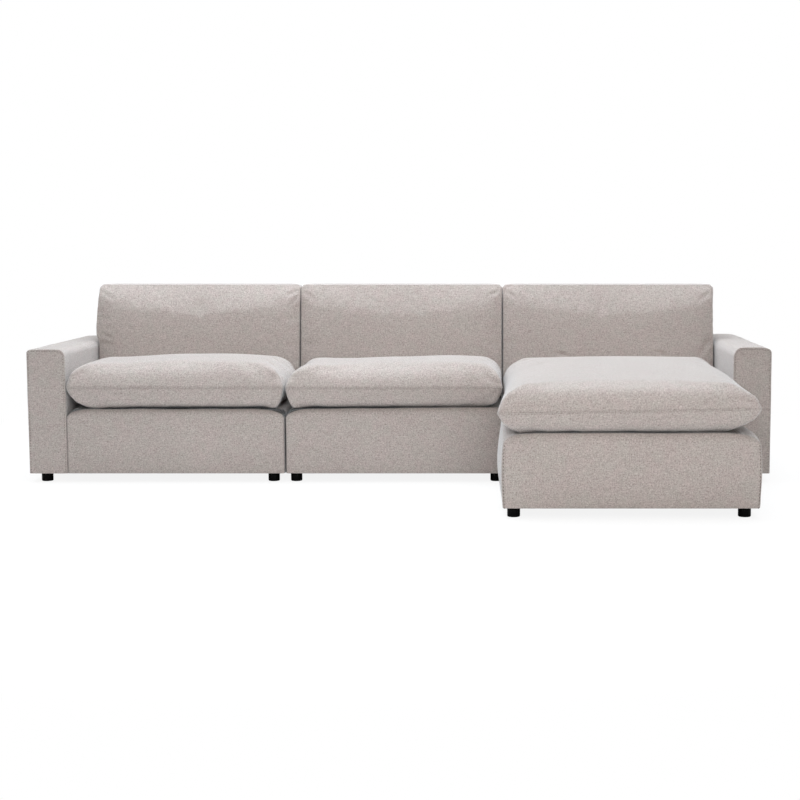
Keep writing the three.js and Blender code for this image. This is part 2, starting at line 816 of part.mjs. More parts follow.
const rail = frameInset + boardThickness;
const reachMiddle = (-chaiseReach + shoulderY) / 2;
const seatMiddle = baseDepth / 2;
const chaiseUnit = seatUnit("chaise", {
  leftFace: chaiseLeft,
  rightFace: chaiseRight,
  outline: chaiseOutline,
  bays: [
    [reachLeft + rail, reachRight - rail, -chaiseReach + rail, reachMiddle - boardThickness / 2],
    [reachLeft + rail, reachRight - rail, reachMiddle + boardThickness / 2, shoulderY - rail],
    [chaiseLeft + rail, chaiseRight - rail, rail, seatMiddle - boardThickness / 2],
    [chaiseLeft + rail, chaiseRight - rail, seatMiddle + boardThickness / 2, baseDepth - rail],
  ],
  belly: chaiseBelly,
  spanAt: (y) => [
    (y > shoulderY - frameInset ? chaiseLeft : reachLeft) + frameInset,
    (y > frameInset ? chaiseRight : reachRight) - frameInset,
  ],
  front: -chaiseReach,
  baseFeet: [
    ["front_left", reachLeft + chaiseLeftFootInset, -chaiseReach + footFrontInset],
    ["front_right", reachRight - chaiseRightFootInset, -chaiseReach + footFrontInset],
    ["middle_left", chaiseLeft + chaiseMidFootInset, footFrontInset],
  ],
  backFeet: [["rear_left", chaiseLeft + chaiseMidFootInset, sofaDepth - footRearInset]],
});
const rightArm = armUnit("chaise", -1);
rightArm.position.x = (chaiseSeatWidth + armWidth) / 2;
chaiseUnit.add(rightArm);
chaiseUnit.position.x = chaiseCentreX;

// Sectional connectors, a catch on the centre unit and a hook on its neighbour at each place
[["front", frontBracketInset], ["rear", rearBracketInset]].forEach(([place, y]) => {
  const centreFace = (centreSeatWidth - moduleGap) / 2;
  [["left", -1, leftUnit, leftSeatWidth], ["chaise", 1, chaiseUnit, chaiseSeatWidth]].forEach(
    ([name, side, unit, width]) => {
      const fixed = piece(`centre_catch_${name}_${place}`, catchBracket(side), zincSteel);
      fixed.position.set(centreFace * side, y, 0);
      centreUnit.add(fixed);
      const hook = piece(`${name}_hook_${place}`, hookBracket(side), zincSteel);
      hook.position.set(-side * (width - moduleGap) / 2, y, 0);
      unit.add(hook);
    },
  );
});

// Seat cushions stand on the deck, on the middle of their seat
function seatCushion(name, width, front, swayAmount, rows) {
  const rear = seatCushionDepth - seatCushionOverhang;
  const depth = rear - front;
  const middle = (front + rear) / 2;
  const seam = baseTop + touchGap + seatSeamRise;
  const place = (geometry) => {
    geometry.translate(0, middle, seam);
    return swayAmount ? sway(geometry, shoulderY, front, swayAmount) : geometry;
  };
  const inside = (clearance) => place(knifeEdgeCushion(
    width - seamAllowance * 2 + clearance * 2,
    depth - seamAllowance * 2 + clearance * 2,
    seatCushionRise - fibreWrap + clearance,
    seatSeamRise - fibreWrap + clearance,
    coreColumns,
    coreRows,
  ));
  const outside = place(knifeEdgeCushion(
    width, depth, seatCushionRise, seatSeamRise, cushionColumns, rows,
  ));
  const slot = zipSlot(width, rear, seam, seamAllowance + seatSideDrawIn);
  const cushion = new THREE.Group();
  cushion.add(
    piece(`${name}_cover`, cut(outside, [inside(touchGap), slot]), oatmealWeave),
    piece(`${name}_core`, inside(0), foam),
  );
  return cushion;
}

const leftSeatCushion = seatCushion(
  "left_seat_cushion", leftSeatWidth - seatCushionSideGap * 2, -seatCushionOverhang, 0,
  cushionRows,
);
leftUnit.add(leftSeatCushion);
const centreSeatCushion = seatCushion(
  "centre_seat_cushion", centreSeatWidth - seatCushionSideGap * 2, -seatCushionOverhang, 0,
  cushionRows,
);
centreUnit.add(centreSeatCushion);
const chaiseCushion = seatCushion(
  "chaise_cushion", chaiseSeatWidth - chaiseCushionSideGap * 2,
  -chaiseReach - chaiseCushionOverhang, chaiseCushionSway, chaiseCushionRows,
);
chaiseUnit.add(chaiseCushion);

// Back cushions stand on the deck behind the seat cushions and lean on the back
function backCushion(name, seatWidth) {
  const width = seatWidth - backCushionSideGap * 2;
  const bottom = baseTop + touchGap;
  const height = backCushionTop - bottom;
  const rear = sofaDepth - backDepth - touchGap;
  const place = (geometry) => {
    geometry.translate(0, 0, height / 2);
    return lean(geometry).translate(0, rear - backCushionThickness / 2, bottom);
  };
  const inside = (clearance) => place(boxedCushion(
    width - fibreWrap * 4 + clearance * 2,
    height - fibreWrap * 2 + clearance * 2,
    backCushionThickness - fibreWrap * 2 + clearance * 2,
    coreColumns,
    coreRows,
  ));
  const outside = place(boxedCushion(
    width, height, backCushionThickness, panelColumns, panelRows,
  ));
  const slotHeight = bottom + backZipRise;
  const slot = zipSlot(
    width, rear + (slotHeight - bottom) * leanSlope, slotHeight, fibreWrap + backCushionCrown,
  );
  const cushion = new THREE.Group();
  cushion.add(
    piece(`${name}_cover`, cut(outside, [inside(touchGap), slot]), oatmealWeave),
    piece(`${name}_core`, inside(0), foam),
  );
  return cushion;
}

leftUnit.add(backCushion("left_back_cushion", leftSeatWidth));
centreUnit.add(backCushion("centre_back_cushion", centreSeatWidth));
chaiseUnit.add(backCushion("chaise_back_cushion", chaiseSeatWidth));

// The whole sofa, with its origin on the floor below the middle of its outline
const group = new THREE.Group();
group.add(leftUnit, centreUnit, chaiseUnit);
group.position.y = (chaiseReach + chaiseCushionOverhang - sofaDepth) / 2;

export default group;
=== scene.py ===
import math

import bmesh
import bpy
import numpy as np
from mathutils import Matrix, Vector


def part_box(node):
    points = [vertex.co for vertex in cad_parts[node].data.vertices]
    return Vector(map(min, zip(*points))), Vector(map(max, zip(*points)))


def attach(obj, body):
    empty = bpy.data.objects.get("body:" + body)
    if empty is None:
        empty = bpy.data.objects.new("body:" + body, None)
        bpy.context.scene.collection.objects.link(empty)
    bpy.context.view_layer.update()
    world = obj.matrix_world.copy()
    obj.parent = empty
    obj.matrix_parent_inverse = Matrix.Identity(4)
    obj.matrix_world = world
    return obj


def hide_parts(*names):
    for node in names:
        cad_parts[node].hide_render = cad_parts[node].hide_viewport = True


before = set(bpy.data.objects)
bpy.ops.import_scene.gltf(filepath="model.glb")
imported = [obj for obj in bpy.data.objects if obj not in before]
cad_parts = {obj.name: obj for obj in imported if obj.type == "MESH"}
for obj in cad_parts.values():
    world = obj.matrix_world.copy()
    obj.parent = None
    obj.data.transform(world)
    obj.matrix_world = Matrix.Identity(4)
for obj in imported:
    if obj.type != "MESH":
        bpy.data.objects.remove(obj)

scene = bpy.context.scene
scene.view_settings.view_transform = "Standard"
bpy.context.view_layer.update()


# Camera
# It stands in front of the gap between the centre seat and the chaise, a little above the arms,
# and looks slightly down. The picture is shifted so that the whole row is in it.

lens = bpy.data.cameras.new("camera")
lens.sensor_width = 36
lens.lens = 69.745
lens.shift_x = -0.1141
lens.clip_end = 60
camera = bpy.data.objects.new("camera", lens)
camera.location = (0.3866, -6.5079, 1.0249)
camera.rotation_euler = (math.pi / 2 - 0.1039, 0, 0)
scene.collection.objects.link(camera)
scene.camera = camera


# Room
# A plain pale floor under soft studio light: a wide overhead softbox a little in front of the
# seats, a weak one from the front, and an even glow all round. The camera sees the floor nearly
# white, with the sofa's shadow on it.

def link(tree, socket, value):
    if isinstance(value, bpy.types.NodeSocket):
        tree.links.new(value, socket)
    else:
        socket.default_value = value


def node(tree, kind, inputs=None, **settings):
    made = tree.nodes.new(kind)
    for name, value in settings.items():
        setattr(made, name, value)
    for name, value in (inputs or {}).items():
        link(tree, made.inputs[name], value)
    return made


def maths(tree, operation, *values):
    made = node(tree, "ShaderNodeMath", operation=operation)
    for place, value in enumerate(values):
        link(tree, made.inputs[place], value)
    return made.outputs[0]


def new_object(name, points, faces, edges=()):
    mesh = bpy.data.meshes.new(name)
    mesh.from_pydata([tuple(p) for p in points], list(edges), [tuple(f) for f in faces])
    mesh.update()
    made = bpy.data.objects.new(name, mesh)
    scene.collection.objects.link(made)
    return made


def softbox(name, place, target, size, power, tint):
    lamp = bpy.data.lights.new(name, "AREA")
    lamp.shape = "RECTANGLE"
    lamp.size, lamp.size_y = size
    lamp.energy = power
    lamp.color = tint
    made = bpy.data.objects.new(name, lamp)
    made.location = place
    aim = Vector(target) - Vector(place)
    made.rotation_euler = aim.to_track_quat("-Z", "Y").to_euler()
    made.visible_camera = False
    scene.collection.objects.link(made)


softbox("overhead softbox", (-0.4, 0.75, 4.2), (-0.4, 0.7, 0), (6.8, 3.6), 334, (0.89, 0.95, 1.0))
softbox("front softbox", (0.8, -4.0, 1.8), (0.5, -0.5, 0.2), (2.4, 1.6), 53, (1.0, 0.97, 0.945))

glow = bpy.data.worlds.new("glow")
glow.use_nodes = True
scene.world = glow
tree = glow.node_tree
tree.nodes.clear()
rays = node(tree, "ShaderNodeLightPath")
seen = maths(tree, "MAXIMUM", rays.outputs["Is Camera Ray"], rays.outputs["Is Glossy Ray"])
seen = maths(tree, "MAXIMUM", seen, rays.outputs["Is Transmission Ray"])
lit = node(tree, "ShaderNodeBackground", {"Color": (1, 0.985, 0.965, 1), "Strength": 0.33})
white = node(tree, "ShaderNodeBackground", {"Color": (1, 1, 1, 1), "Strength": 1.0})
either = node(tree, "ShaderNodeMixShader", {0: seen, 1: lit.outputs[0], 2: white.outputs[0]})
node(tree, "ShaderNodeOutputWorld", {"Surface": either.outputs[0]})

paper = bpy.data.materials.new("pale floor")
paper.use_nodes = True
tree = paper.node_tree
tree.nodes.clear()
rays = node(tree, "ShaderNodeLightPath")
matt = node(tree, "ShaderNodeBsdfDiffuse", {"Color": (0.84, 0.84, 0.84, 1)})
dim = node(tree, "ShaderNodeBsdfDiffuse", {"Color": (0.13, 0.13, 0.13, 1)})
shine = node(tree, "ShaderNodeEmission", {"Color": (1, 1, 1, 1), "Strength": 0.88})
near = node(tree, "ShaderNodeAddShader", {0: dim.outputs[0], 1: shine.outputs[0]})
far = node(tree, "ShaderNodeEmission", {"Color": (1, 1, 1, 1), "Strength": 1.0})
away = node(tree, "ShaderNodeVectorMath", {
    0: node(tree, "ShaderNodeTexCoord").outputs["Object"]}, operation="LENGTH").outputs["Value"]
away = node(tree, "ShaderNodeMapRange", {0: away, 1: 1.9, 2: 3.2}).outputs[0]
pale = node(tree, "ShaderNodeMixShader", {0: away, 1: near.outputs[0], 2: far.outputs[0]})
either = node(tree, "ShaderNodeMixShader", {
    0: rays.outputs["Is Camera Ray"], 1: matt.outputs[0], 2: pale.outputs[0]})
node(tree, "ShaderNodeOutputMaterial", {"Surface": either.outputs[0]})
floor_reach = 14.0
floor = new_object("floor", [
    (-floor_reach, -floor_reach, 0), (floor_reach, -floor_reach, 0),
    (floor_reach, floor_reach, 0), (-floor_reach, floor_reach, 0)], [(0, 1, 2, 3)])
floor.data.materials.append(paper)


# Feet
# Short black moulded feet, turned shapes 48 mm across with an eased lower edge, a shadow groove
# under the top rim and a threaded stud that screws up into the frame.

foot_radius = 0.024
foot_top = 0.0367
foot_sides = 36
stud_radius = 0.004
stud_root_radius = 0.0034
stud_top = 0.0567
thread_turns = 9
thread_pitch = 0.002


def new_material(name, inputs):
    """A new material, its tree, its Principled shader, and the place on the object in metres."""
    made = bpy.data.materials.new(name)
    made.use_nodes = True
    tree = made.node_tree
    tree.nodes.clear()
    shader = node(tree, "ShaderNodeBsdfPrincipled", inputs)
    node(tree, "ShaderNodeOutputMaterial", {"Surface": shader.outputs[0]})
    return made, tree, shader, node(tree, "ShaderNodeTexCoord").outputs["Object"]


def emboss(tree, shader, height, strength, distance):
    bump = node(tree, "ShaderNodeBump", {
        "Height": height, "Strength": strength, "Distance": distance})
    link(tree, shader.inputs["Normal"], bump.outputs[0])


def times(tree, first, second):
    return maths(tree, "MULTIPLY", first, second)


def stretched(tree, vector, scale):
    return node(tree, "ShaderNodeMapping", {"Vector": vector, "Scale": scale}).outputs[0]


def blend_colour(tree, factor, first, second, way="MIX"):
    made = node(tree, "ShaderNodeMix", data_type="RGBA", blend_type=way)
    link(tree, made.inputs[0], factor)
    link(tree, made.inputs[6], first)
    link(tree, made.inputs[7], second)
    return made.outputs[2]


def noise(tree, vector, scale, detail=2.0, roughness=0.5):
    return node(tree, "ShaderNodeTexNoise", {
        "Vector": vector, "Scale": scale, "Detail": detail, "Roughness": roughness,
    }).outputs["Fac"]


def span(tree, value, low, high, to_low=0.0, to_high=1.0):
    """The value's range from low to high, stretched to another range and held there."""
    return node(tree, "ShaderNodeMapRange", {
        0: value, 1: low, 2: high, 3: to_low, 4: to_high}).outputs[0]


def group(name, inputs, outputs, kind="ShaderNodeTree"):
    """A node group with named inputs and outputs, and its two end nodes."""
    tree = bpy.data.node_groups.new(name, kind)
    for label, kind, value in inputs:
        socket = tree.interface.new_socket(label, in_out="INPUT", socket_type=kind)
        if value is not None:
            socket.default_value = value
    for label, kind in outputs:
        tree.interface.new_socket(label, in_out="OUTPUT", socket_type=kind)
    return tree, node(tree, "NodeGroupInput").outputs, node(tree, "NodeGroupOutput").inputs


def use_group(tree, made, inputs):
    placed = node(tree, "ShaderNodeGroup", node_tree=made)
    for name, value in inputs.items():
        link(tree, placed.inputs[name], value)
    return placed.outputs


scuffs, given, put = group(
    "scuffs and dust",
    [("Vector", "NodeSocketVector", None), ("Amount", "NodeSocketFloat", 0.5)],
    [("Mask", "NodeSocketFloat"), ("Grain", "NodeSocketFloat")],
)
fine = noise(scuffs, given["Vector"], 900.0, 3.0)
patch = span(scuffs, noise(scuffs, given["Vector"], 38.0, 4.0, 0.7), 0.5, 0.78)
spots = span(scuffs, noise(scuffs, given["Vector"], 260.0, 2.0), 0.45, 0.75)
link(scuffs, put["Mask"], times(scuffs, times(scuffs, patch, spots), given["Amount"]))
link(scuffs, put["Grain"], fine)

black_plastic, tree, shader, at = new_material(
    "black moulded plastic", {"Specular IOR Level": 0.06})
wear = use_group(tree, scuffs, {"Vector": at, "Amount": 0.8})
height = node(tree, "ShaderNodeSeparateXYZ", {0: at}).outputs["Z"]
low_edge = span(tree, height, 0.009, 0.0, 0.0, 0.45)
dust_and_shade = maths(tree, "MINIMUM", maths(tree, "ADD", wear["Mask"], low_edge), 1.0)
link(tree, shader.inputs["Base Color"], blend_colour(
    tree, dust_and_shade, (0.0008, 0.0008, 0.0009, 1), (0.0050, 0.0048, 0.0045, 1)))
link(tree, shader.inputs["Roughness"], span(tree, wear["Grain"], 0.2, 0.8, 0.38, 0.58))
emboss(tree, shader, wear["Grain"], 0.25, 0.0004)


def revolve(profile, sides, x, y):
    """A closed turned shape: the profile goes from the axis below to the axis above."""
    ring = profile[1:-1]
    turn = np.linspace(0, 2 * math.pi, sides, endpoint=False)
    points = [(x, y, profile[0][1])]
    for radius, height in ring:
        points += [(x + radius * math.cos(a), y + radius * math.sin(a), height) for a in turn]
    points.append((x, y, profile[-1][1]))
    faces = []
    for i in range(sides):
        j = (i + 1) % sides
        faces.append((0, 1 + j, 1 + i))
        for row in range(len(ring) - 1):
            a = 1 + row * sides
            faces.append((a + i, a + j, a + sides + j, a + sides + i))
        last = 1 + (len(ring) - 1) * sides
        faces.append((last + i, last + j, len(points) - 1))
    return points, faces


def smooth(piece, angle=40):
    """Rounds the shading, but not over edges sharper than the angle."""
    piece.data.shade_smooth()
    piece.data.set_sharp_from_angle(angle=math.radians(angle))
    return piece


foot_profile = [
    (0, 0.001), (0.0150, 0.001), (0.0160, 0), (0.0205, 0), (0.0222, 0.0004), (0.0233, 0.0015),
    (0.0238, 0.0028), (foot_radius, 0.0042), (foot_radius, 0.0180), (foot_radius, 0.0300),
    (0.0237, 0.0308), (0.0231, 0.0310), (0.0231, 0.0319), (0.0237, 0.0321),
    (foot_radius, 0.0330), (foot_radius, 0.0359), (0.0234, foot_top), (0.0085, foot_top),
    (stud_radius, foot_top),
]
for turn in range(thread_turns):
    start = foot_top + 0.001 + turn * thread_pitch
    foot_profile += [(stud_radius, start), (stud_root_radius, start + 0.001)]
foot_profile += [(stud_root_radius, stud_top - 0.0004), (0.0028, stud_top), (0, stud_top)]

feet = {
    "left": ("front_inner", "rear_inner", "front_outer", "rear_outer"),
    "centre": ("front_left", "rear_left", "front_right", "rear_right"),
    "chaise": ("front_left", "front_right", "middle_left", "rear_left", "front_outer",
               "rear_outer"),
}
for unit, corners in feet.items():
    for corner in corners:
        low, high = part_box(f"{unit}_foot_{corner}")
        points, faces = revolve(
            foot_profile, foot_sides, (low[0] + high[0]) / 2, (low[1] + high[1]) / 2)
        foot = smooth(new_object(f"{unit}_turned_foot_{corner}", points, faces))
        foot.data.materials.append(black_plastic)
        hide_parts(f"{unit}_foot_{corner}")
        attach(foot, f"{unit}_unit")


# Wooden frames
# Kiln-dried softwood rails, corner blocks, posts and boards, glued and stapled. They are hidden
# inside the upholstery, apart from the open undersides of the arms and backs.

def softwood(name, stretch):
    """Wood with growth rings drawn out along the grain, darker late wood, pores and knots."""
    made, tree, shader, at = new_material(name, {"Specular IOR Level": 0.3})
    along = stretched(tree, at, stretch)
    rings = node(tree, "ShaderNodeTexNoise", {
        "Vector": along, "Scale": 1.0, "Detail": 4.0, "Distortion": 0.6}).outputs["Fac"]
    late = span(tree, maths(tree, "FRACT", times(tree, rings, 9.0)), 0.55, 1.0)
    pores = noise(tree, stretched(tree, along, (4.0, 4.0, 4.0)), 3.0, 5.0, 0.7)
    knots = span(tree, noise(tree, at, 2.6, 1.0), 0.72, 0.8)
    colour = blend_colour(tree, late, (0.62, 0.43, 0.24, 1), (0.47, 0.28, 0.13, 1))
    colour = blend_colour(tree, span(tree, pores, 0.45, 0.8, 0.0, 0.35), colour,
                          (0.36, 0.22, 0.11, 1))
    colour = blend_colour(tree, knots, colour, (0.2, 0.11, 0.05, 1))
    link(tree, shader.inputs["Base Color"], colour)
    link(tree, shader.inputs["Roughness"], span(tree, pores, 0.3, 0.8, 0.55, 0.8))
    emboss(tree, shader, maths(tree, "ADD", pores, times(tree, late, -0.4)), 0.5, 0.0008)
    return made


rail_wood = softwood("softwood rails", (1.6, 26.0, 26.0))
arm_wood = softwood("softwood arm boards", (26.0, 1.6, 26.0))


def repaint(name, material):
    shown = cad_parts[name]
    for place in shown.material_slots:
        place.material = material
    if not shown.material_slots:
        shown.data.materials.append(material)


for name in ("left", "centre", "chaise"):
    repaint(f"{name}_base_frame", rail_wood)
    repaint(f"{name}_back_frame", rail_wood)
for name in ("left", "chaise"):
    repaint(f"{name}_arm_frame", arm_wood)


# Elastic webbing
# Brown woven elastic straps, 50 mm wide, stretched over the rails both ways and interlaced.
# They carry the deck pad. Under the chaise the net follows the base's step at each side.

strap_width = 0.05
strap_thickness = 0.001
strap_rise = 0.0008
strap_pitch = 0.135
rail_inset = 0.0143
chaise_right_step = -0.0275
chaise_left_step = chaise_right_step - 0.032
chaise_front_sides = (0.4280, 1.3760)
chaise_seat_sides = (0.4390, 1.4027)

webbing_cloth, tree, shader, at = new_material(
    "elastic webbing", {"Specular IOR Level": 0.25, "Sheen Weight": 0.2})
parts = node(tree, "ShaderNodeSeparateXYZ", {0: at}).outputs
ribs = maths(tree, "ABSOLUTE", maths(
    tree, "SINE", times(tree, maths(tree, "ADD", parts["X"], parts["Y"]), 2200.0)))
stripe = span(tree, noise(tree, at, 30.0, 2.0), 0.4, 0.7)
link(tree, shader.inputs["Base Color"], blend_colour(
    tree, times(tree, ribs, stripe), (0.05, 0.037, 0.028, 1), (0.12, 0.09, 0.07, 1)))
link(tree, shader.inputs["Roughness"], span(tree, ribs, 0.0, 1.0, 0.75, 0.95))
emboss(tree, shader, ribs, 0.6, 0.0004)


def growing_tree(name, sizes):
    """A geometry tree with named sizes, run as a modifier, and its two end nodes."""
    shape = ("Geometry", "NodeSocketGeometry")
    tree, given, put = group(name, [(*shape, None), *sizes, (
        "Material", "NodeSocketMaterial", None)], [shape], "GeometryNodeTree")
    tree.is_modifier = True
    return tree, given, put


def given_curve(tree, given):
    return node(tree, "GeometryNodeMeshToCurve", {"Mesh": given["Geometry"]}).outputs["Curve"]


def sweep(tree, curve, section):
    return node(tree, "GeometryNodeCurveToMesh", {
        "Curve": curve, "Profile Curve": section, "Fill Caps": True}).outputs[0]


def finish_tree(tree, geometry, given, put):
    real = node(tree, "GeometryNodeRealizeInstances", {"Geometry": geometry}).outputs[0]
    dressed = node(tree, "GeometryNodeSetMaterial", {
        "Geometry": real, "Material": given["Material"]}).outputs[0]
    link(tree, put["Geometry"], dressed)


def grow(name, paths, tree, closed=False, **sizes):
    """Runs a geometry tree over paths, and gives the result as a plain mesh of its own."""
    points, edges = [], []
    for path in paths:
        first = len(points)
        points += [tuple(p) for p in path]
        edges += [(i, i + 1) for i in range(first, len(points) - 1)]
        if closed:
            edges.append((len(points) - 1, first))
    seed = new_object("seed of " + name, points, [], edges)
    modifier = seed.modifiers.new("tree", "NODES")
    modifier.node_group = tree
    for item in tree.interface.items_tree:
        label = item.name.lower().replace(" ", "_")
        if item.in_out == "INPUT" and label in sizes:
            modifier[item.identifier] = sizes[label]
    view = seed.evaluated_get(bpy.context.evaluated_depsgraph_get())
    mesh = bpy.data.meshes.new_from_object(view)
    mesh.name = name
    bpy.data.objects.remove(seed)
    made = bpy.data.objects.new(name, mesh)
    scene.collection.objects.link(made)
    return smooth(made)


strap_tree, given, put = growing_tree("straps along lines", [
    ("Width", "NodeSocketFloat", strap_width), ("Thickness", "NodeSocketFloat", strap_thickness)])
flat = node(strap_tree, "GeometryNodeSetCurveNormal", {
    "Curve": given_curve(strap_tree, given)}, mode="Z_UP").outputs[0]
section = node(strap_tree, "GeometryNodeCurvePrimitiveQuadrilateral", {
    "Width": given["Width"], "Height": given["Thickness"]}).outputs[0]
finish_tree(strap_tree, sweep(strap_tree, flat, section), given, put)


def interlaced(rows, columns, row_pitch, column_pitch, height):
    """Centre lines of straps that pass over and under each other. rows are (y, left, right) and
    columns are (x, front, rear)."""
    lines = []
    first_x = columns[0][0]
    first_y = rows[0][0]
    for i, (y, left, right) in enumerate(rows):
        xs = np.linspace(left, right, 3 + 4 * round((right - left) / column_pitch))
        wave = strap_rise * np.cos(np.pi * (xs - first_x) / column_pitch) * (-1) ** i
        lines.append(np.stack([xs, np.full_like(xs, y), height + wave], 1))
    for i, (x, front, rear) in enumerate(columns):
        ys = np.linspace(front, rear, 3 + 4 * round((rear - front) / row_pitch))
        wave = -strap_rise * np.cos(np.pi * (ys - first_y) / row_pitch) * (-1) ** i
        lines.append(np.stack([np.full_like(ys, x), ys, height + wave], 1))
    return lines


def evenly(low, high):
    """Straps' places between two rails, and their pitch."""
    count = max(2, round((high - low) / strap_pitch) - 1)
    pitch = (high - low) / (count + 1)
    return [low + pitch * (i + 1) for i in range(count)], pitch


for name in ("left", "centre", "chaise"):
    low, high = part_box(f"{name}_webbing")
    ys, row_pitch = evenly(low[1], high[1])
    height = (low[2] + high[2]) / 2
    left, right = low[0], high[0]
    rows = [(y, left, right) for y in ys]
    if name == "chaise":
        front_left, front_right = (
            chaise_front_sides[0] + rail_inset, chaise_front_sides[1] - rail_inset)
        seat_left, seat_right = (
            chaise_seat_sides[0] + rail_inset, chaise_seat_sides[1] - rail_inset)
        rows = [
            (y, seat_left if y > chaise_left_step - rail_inset else front_left,
             seat_right if y > chaise_right_step + rail_inset else front_right) for y in ys
        ]
        left, right = seat_left, front_right
    xs, column_pitch = evenly(left, right)
    lines = interlaced(
        rows, [(x, low[1], high[1]) for x in xs], row_pitch, column_pitch, height)
    net = grow(f"{name}_webbing_net", lines, strap_tree, material=webbing_cloth)
    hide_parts(f"{name}_webbing")
    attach(net, f"{name}_unit")


# Upholstery cloth
# One heathered oatmeal plain weave covers everything that shows: thick and thin two-tone yarns
# 2 mm apart, with light and dark flecks. Painted shade darkens it down in the seams, and
# deeper painted shade darkens it further in the crevices under the cushions' front edges.

# How dark the painted shade goes in the crevices under the cushions.
crevice_shade = 0.11


def spot(tree, x, y, z=0.0):
    return node(tree, "ShaderNodeCombineXYZ", {0: x, 1: y, 2: z}).outputs[0]


def ridge(tree, value):
    """The rounded height of yarns laid side by side, one for each whole number."""
    return maths(tree, "ABSOLUTE", maths(tree, "SINE", times(tree, value, math.pi)))


plain_weave, given, put = group(
    "plain weave",
    [("Vector", "NodeSocketVector", None), ("Yarn pitch", "NodeSocketFloat", 0.002),
     ("Slub share", "NodeSocketFloat", 0.12)],
    [(label, "NodeSocketFloat") for label in ("Height", "Tone", "Fleck", "Slub")],
)
tree = plain_weave
counted = node(tree, "ShaderNodeVectorMath", {
    0: given["Vector"], "Scale": maths(tree, "DIVIDE", 1.0, given["Yarn pitch"])},
    operation="SCALE").outputs[0]
parts = node(tree, "ShaderNodeSeparateXYZ", {0: counted}).outputs
x, y = parts["X"], parts["Y"]
warp, weft = maths(tree, "FLOOR", x), maths(tree, "FLOOR", y)
over = maths(tree, "FLOORED_MODULO", maths(tree, "ADD", warp, weft), 2.0)


def by_yarn(weft_value, warp_value):
    """The second value where the warp lies on top, and the first where the weft does."""
    return node(plain_weave, "ShaderNodeMix", {0: over, 2: weft_value, 3: warp_value}).outputs[0]


across, along = ridge(tree, x), ridge(tree, y)
link(tree, put["Height"], by_yarn(
    times(tree, along, maths(tree, "POWER", across, 0.35)),
    times(tree, across, maths(tree, "POWER", along, 0.35))))
link(tree, put["Tone"], by_yarn(
    noise(tree, spot(tree, times(tree, x, given["Slub share"]), times(tree, weft, 0.77), 7.3),
          1.0, 2.0),
    noise(tree, spot(tree, times(tree, warp, 0.77), times(tree, y, given["Slub share"])),
          1.0, 2.0)))
link(tree, put["Fleck"], noise(tree, spot(
    tree, times(tree, x, by_yarn(0.30, 0.62)), times(tree, y, by_yarn(0.66, 0.32)),
    times(tree, over, 5.1)), 1.0, 3.0, 0.6))
slubs = [noise(tree, spot(tree, times(tree, x, wide), times(tree, y, long), place), 1.0, 2.0)
         for wide, long, place in ((0.55, 0.085, 3.1), (0.11, 0.5, 9.7))]
link(tree, put["Slub"], times(tree, maths(tree, "ADD", *slubs), 0.5))


def upholstery(name, dark, light, fleck, pitch, sheen, seam_shade):
    """A woven cloth of yarns between dark and light, with flecks. Its seam attribute paints shade
    into it: up to 1 by seam_shade, down in a seam, and up to 2 nearly black, in a crevice."""
    made, tree, shader, at = new_material(name, {
        "Specular IOR Level": 0.2, "Sheen Weight": sheen, "Sheen Roughness": 0.4,
        "Sheen Tint": (0.90, 0.96, 1.0, 1)})
    flat = node(tree, "ShaderNodeUVMap", uv_map="cloth").outputs[0]
    weave = use_group(tree, plain_weave, {
        "Vector": flat, "Yarn pitch": pitch, "Slub share": 0.12})
    mixed = times(tree, maths(tree, "ADD", weave["Tone"], weave["Slub"]), 0.5)
    colour = blend_colour(tree, span(tree, mixed, 0.36, 0.62), dark, light)
    colour = blend_colour(tree, span(tree, weave["Fleck"], 0.53, 0.70, 0.0, 0.9), colour, fleck)
    colour = blend_colour(tree, span(tree, weave["Fleck"], 0.47, 0.31, 0.0, 0.9), colour,
                          tuple(c * 0.55 for c in dark[:3]) + (1,))
    warm = span(tree, noise(tree, at, 22.0, 3.0, 0.6), 0.35, 0.65)
    colour = blend_colour(tree, 1.0, colour, blend_colour(
        tree, warm, (0.975, 1.0, 0.985, 1), (1.0, 0.975, 0.98, 1)), "MULTIPLY")
    faded = span(tree, noise(tree, at, 3.2, 3.0), 0.3, 0.7, 0.95, 1.0)
    # Painted shade: the cloth is darker between the yarns.
    gaps = span(tree, weave["Height"], 0.0, 0.45, 0.8, 1.0)
    # Painted shade from the seam attribute: darker down in the seams, nearly black in the
    # crevices.
    seam = node(tree, "ShaderNodeAttribute", attribute_name="seam").outputs["Fac"]
    seam_and_crevice_shade = times(tree, span(tree, seam, 0.55, 1.0, 1.0, seam_shade),
                 span(tree, seam, 1.0, 2.0, 1.0, crevice_shade))
    shade = times(tree, times(tree, faded, gaps), seam_and_crevice_shade)
    grey = node(tree, "ShaderNodeCombineColor", {0: shade, 1: shade, 2: shade}).outputs[0]
    link(tree, shader.inputs["Base Color"], blend_colour(tree, 1.0, colour, grey, "MULTIPLY"))
    link(tree, shader.inputs["Roughness"], span(tree, weave["Tone"], 0.2, 0.8, 0.95, 0.8))
    fuzz = noise(tree, at, 700.0, 2.0)
    emboss(tree, shader, maths(tree, "ADD", weave["Height"], times(tree, fuzz, 0.5)),
           0.4, pitch * 0.35)
    return made


oatmeal = upholstery(
    "oatmeal weave", (0.375, 0.322, 0.300, 1), (0.60, 0.532, 0.502, 1), (0.76, 0.71, 0.685, 1),
    0.0021, 0.55, 0.72)
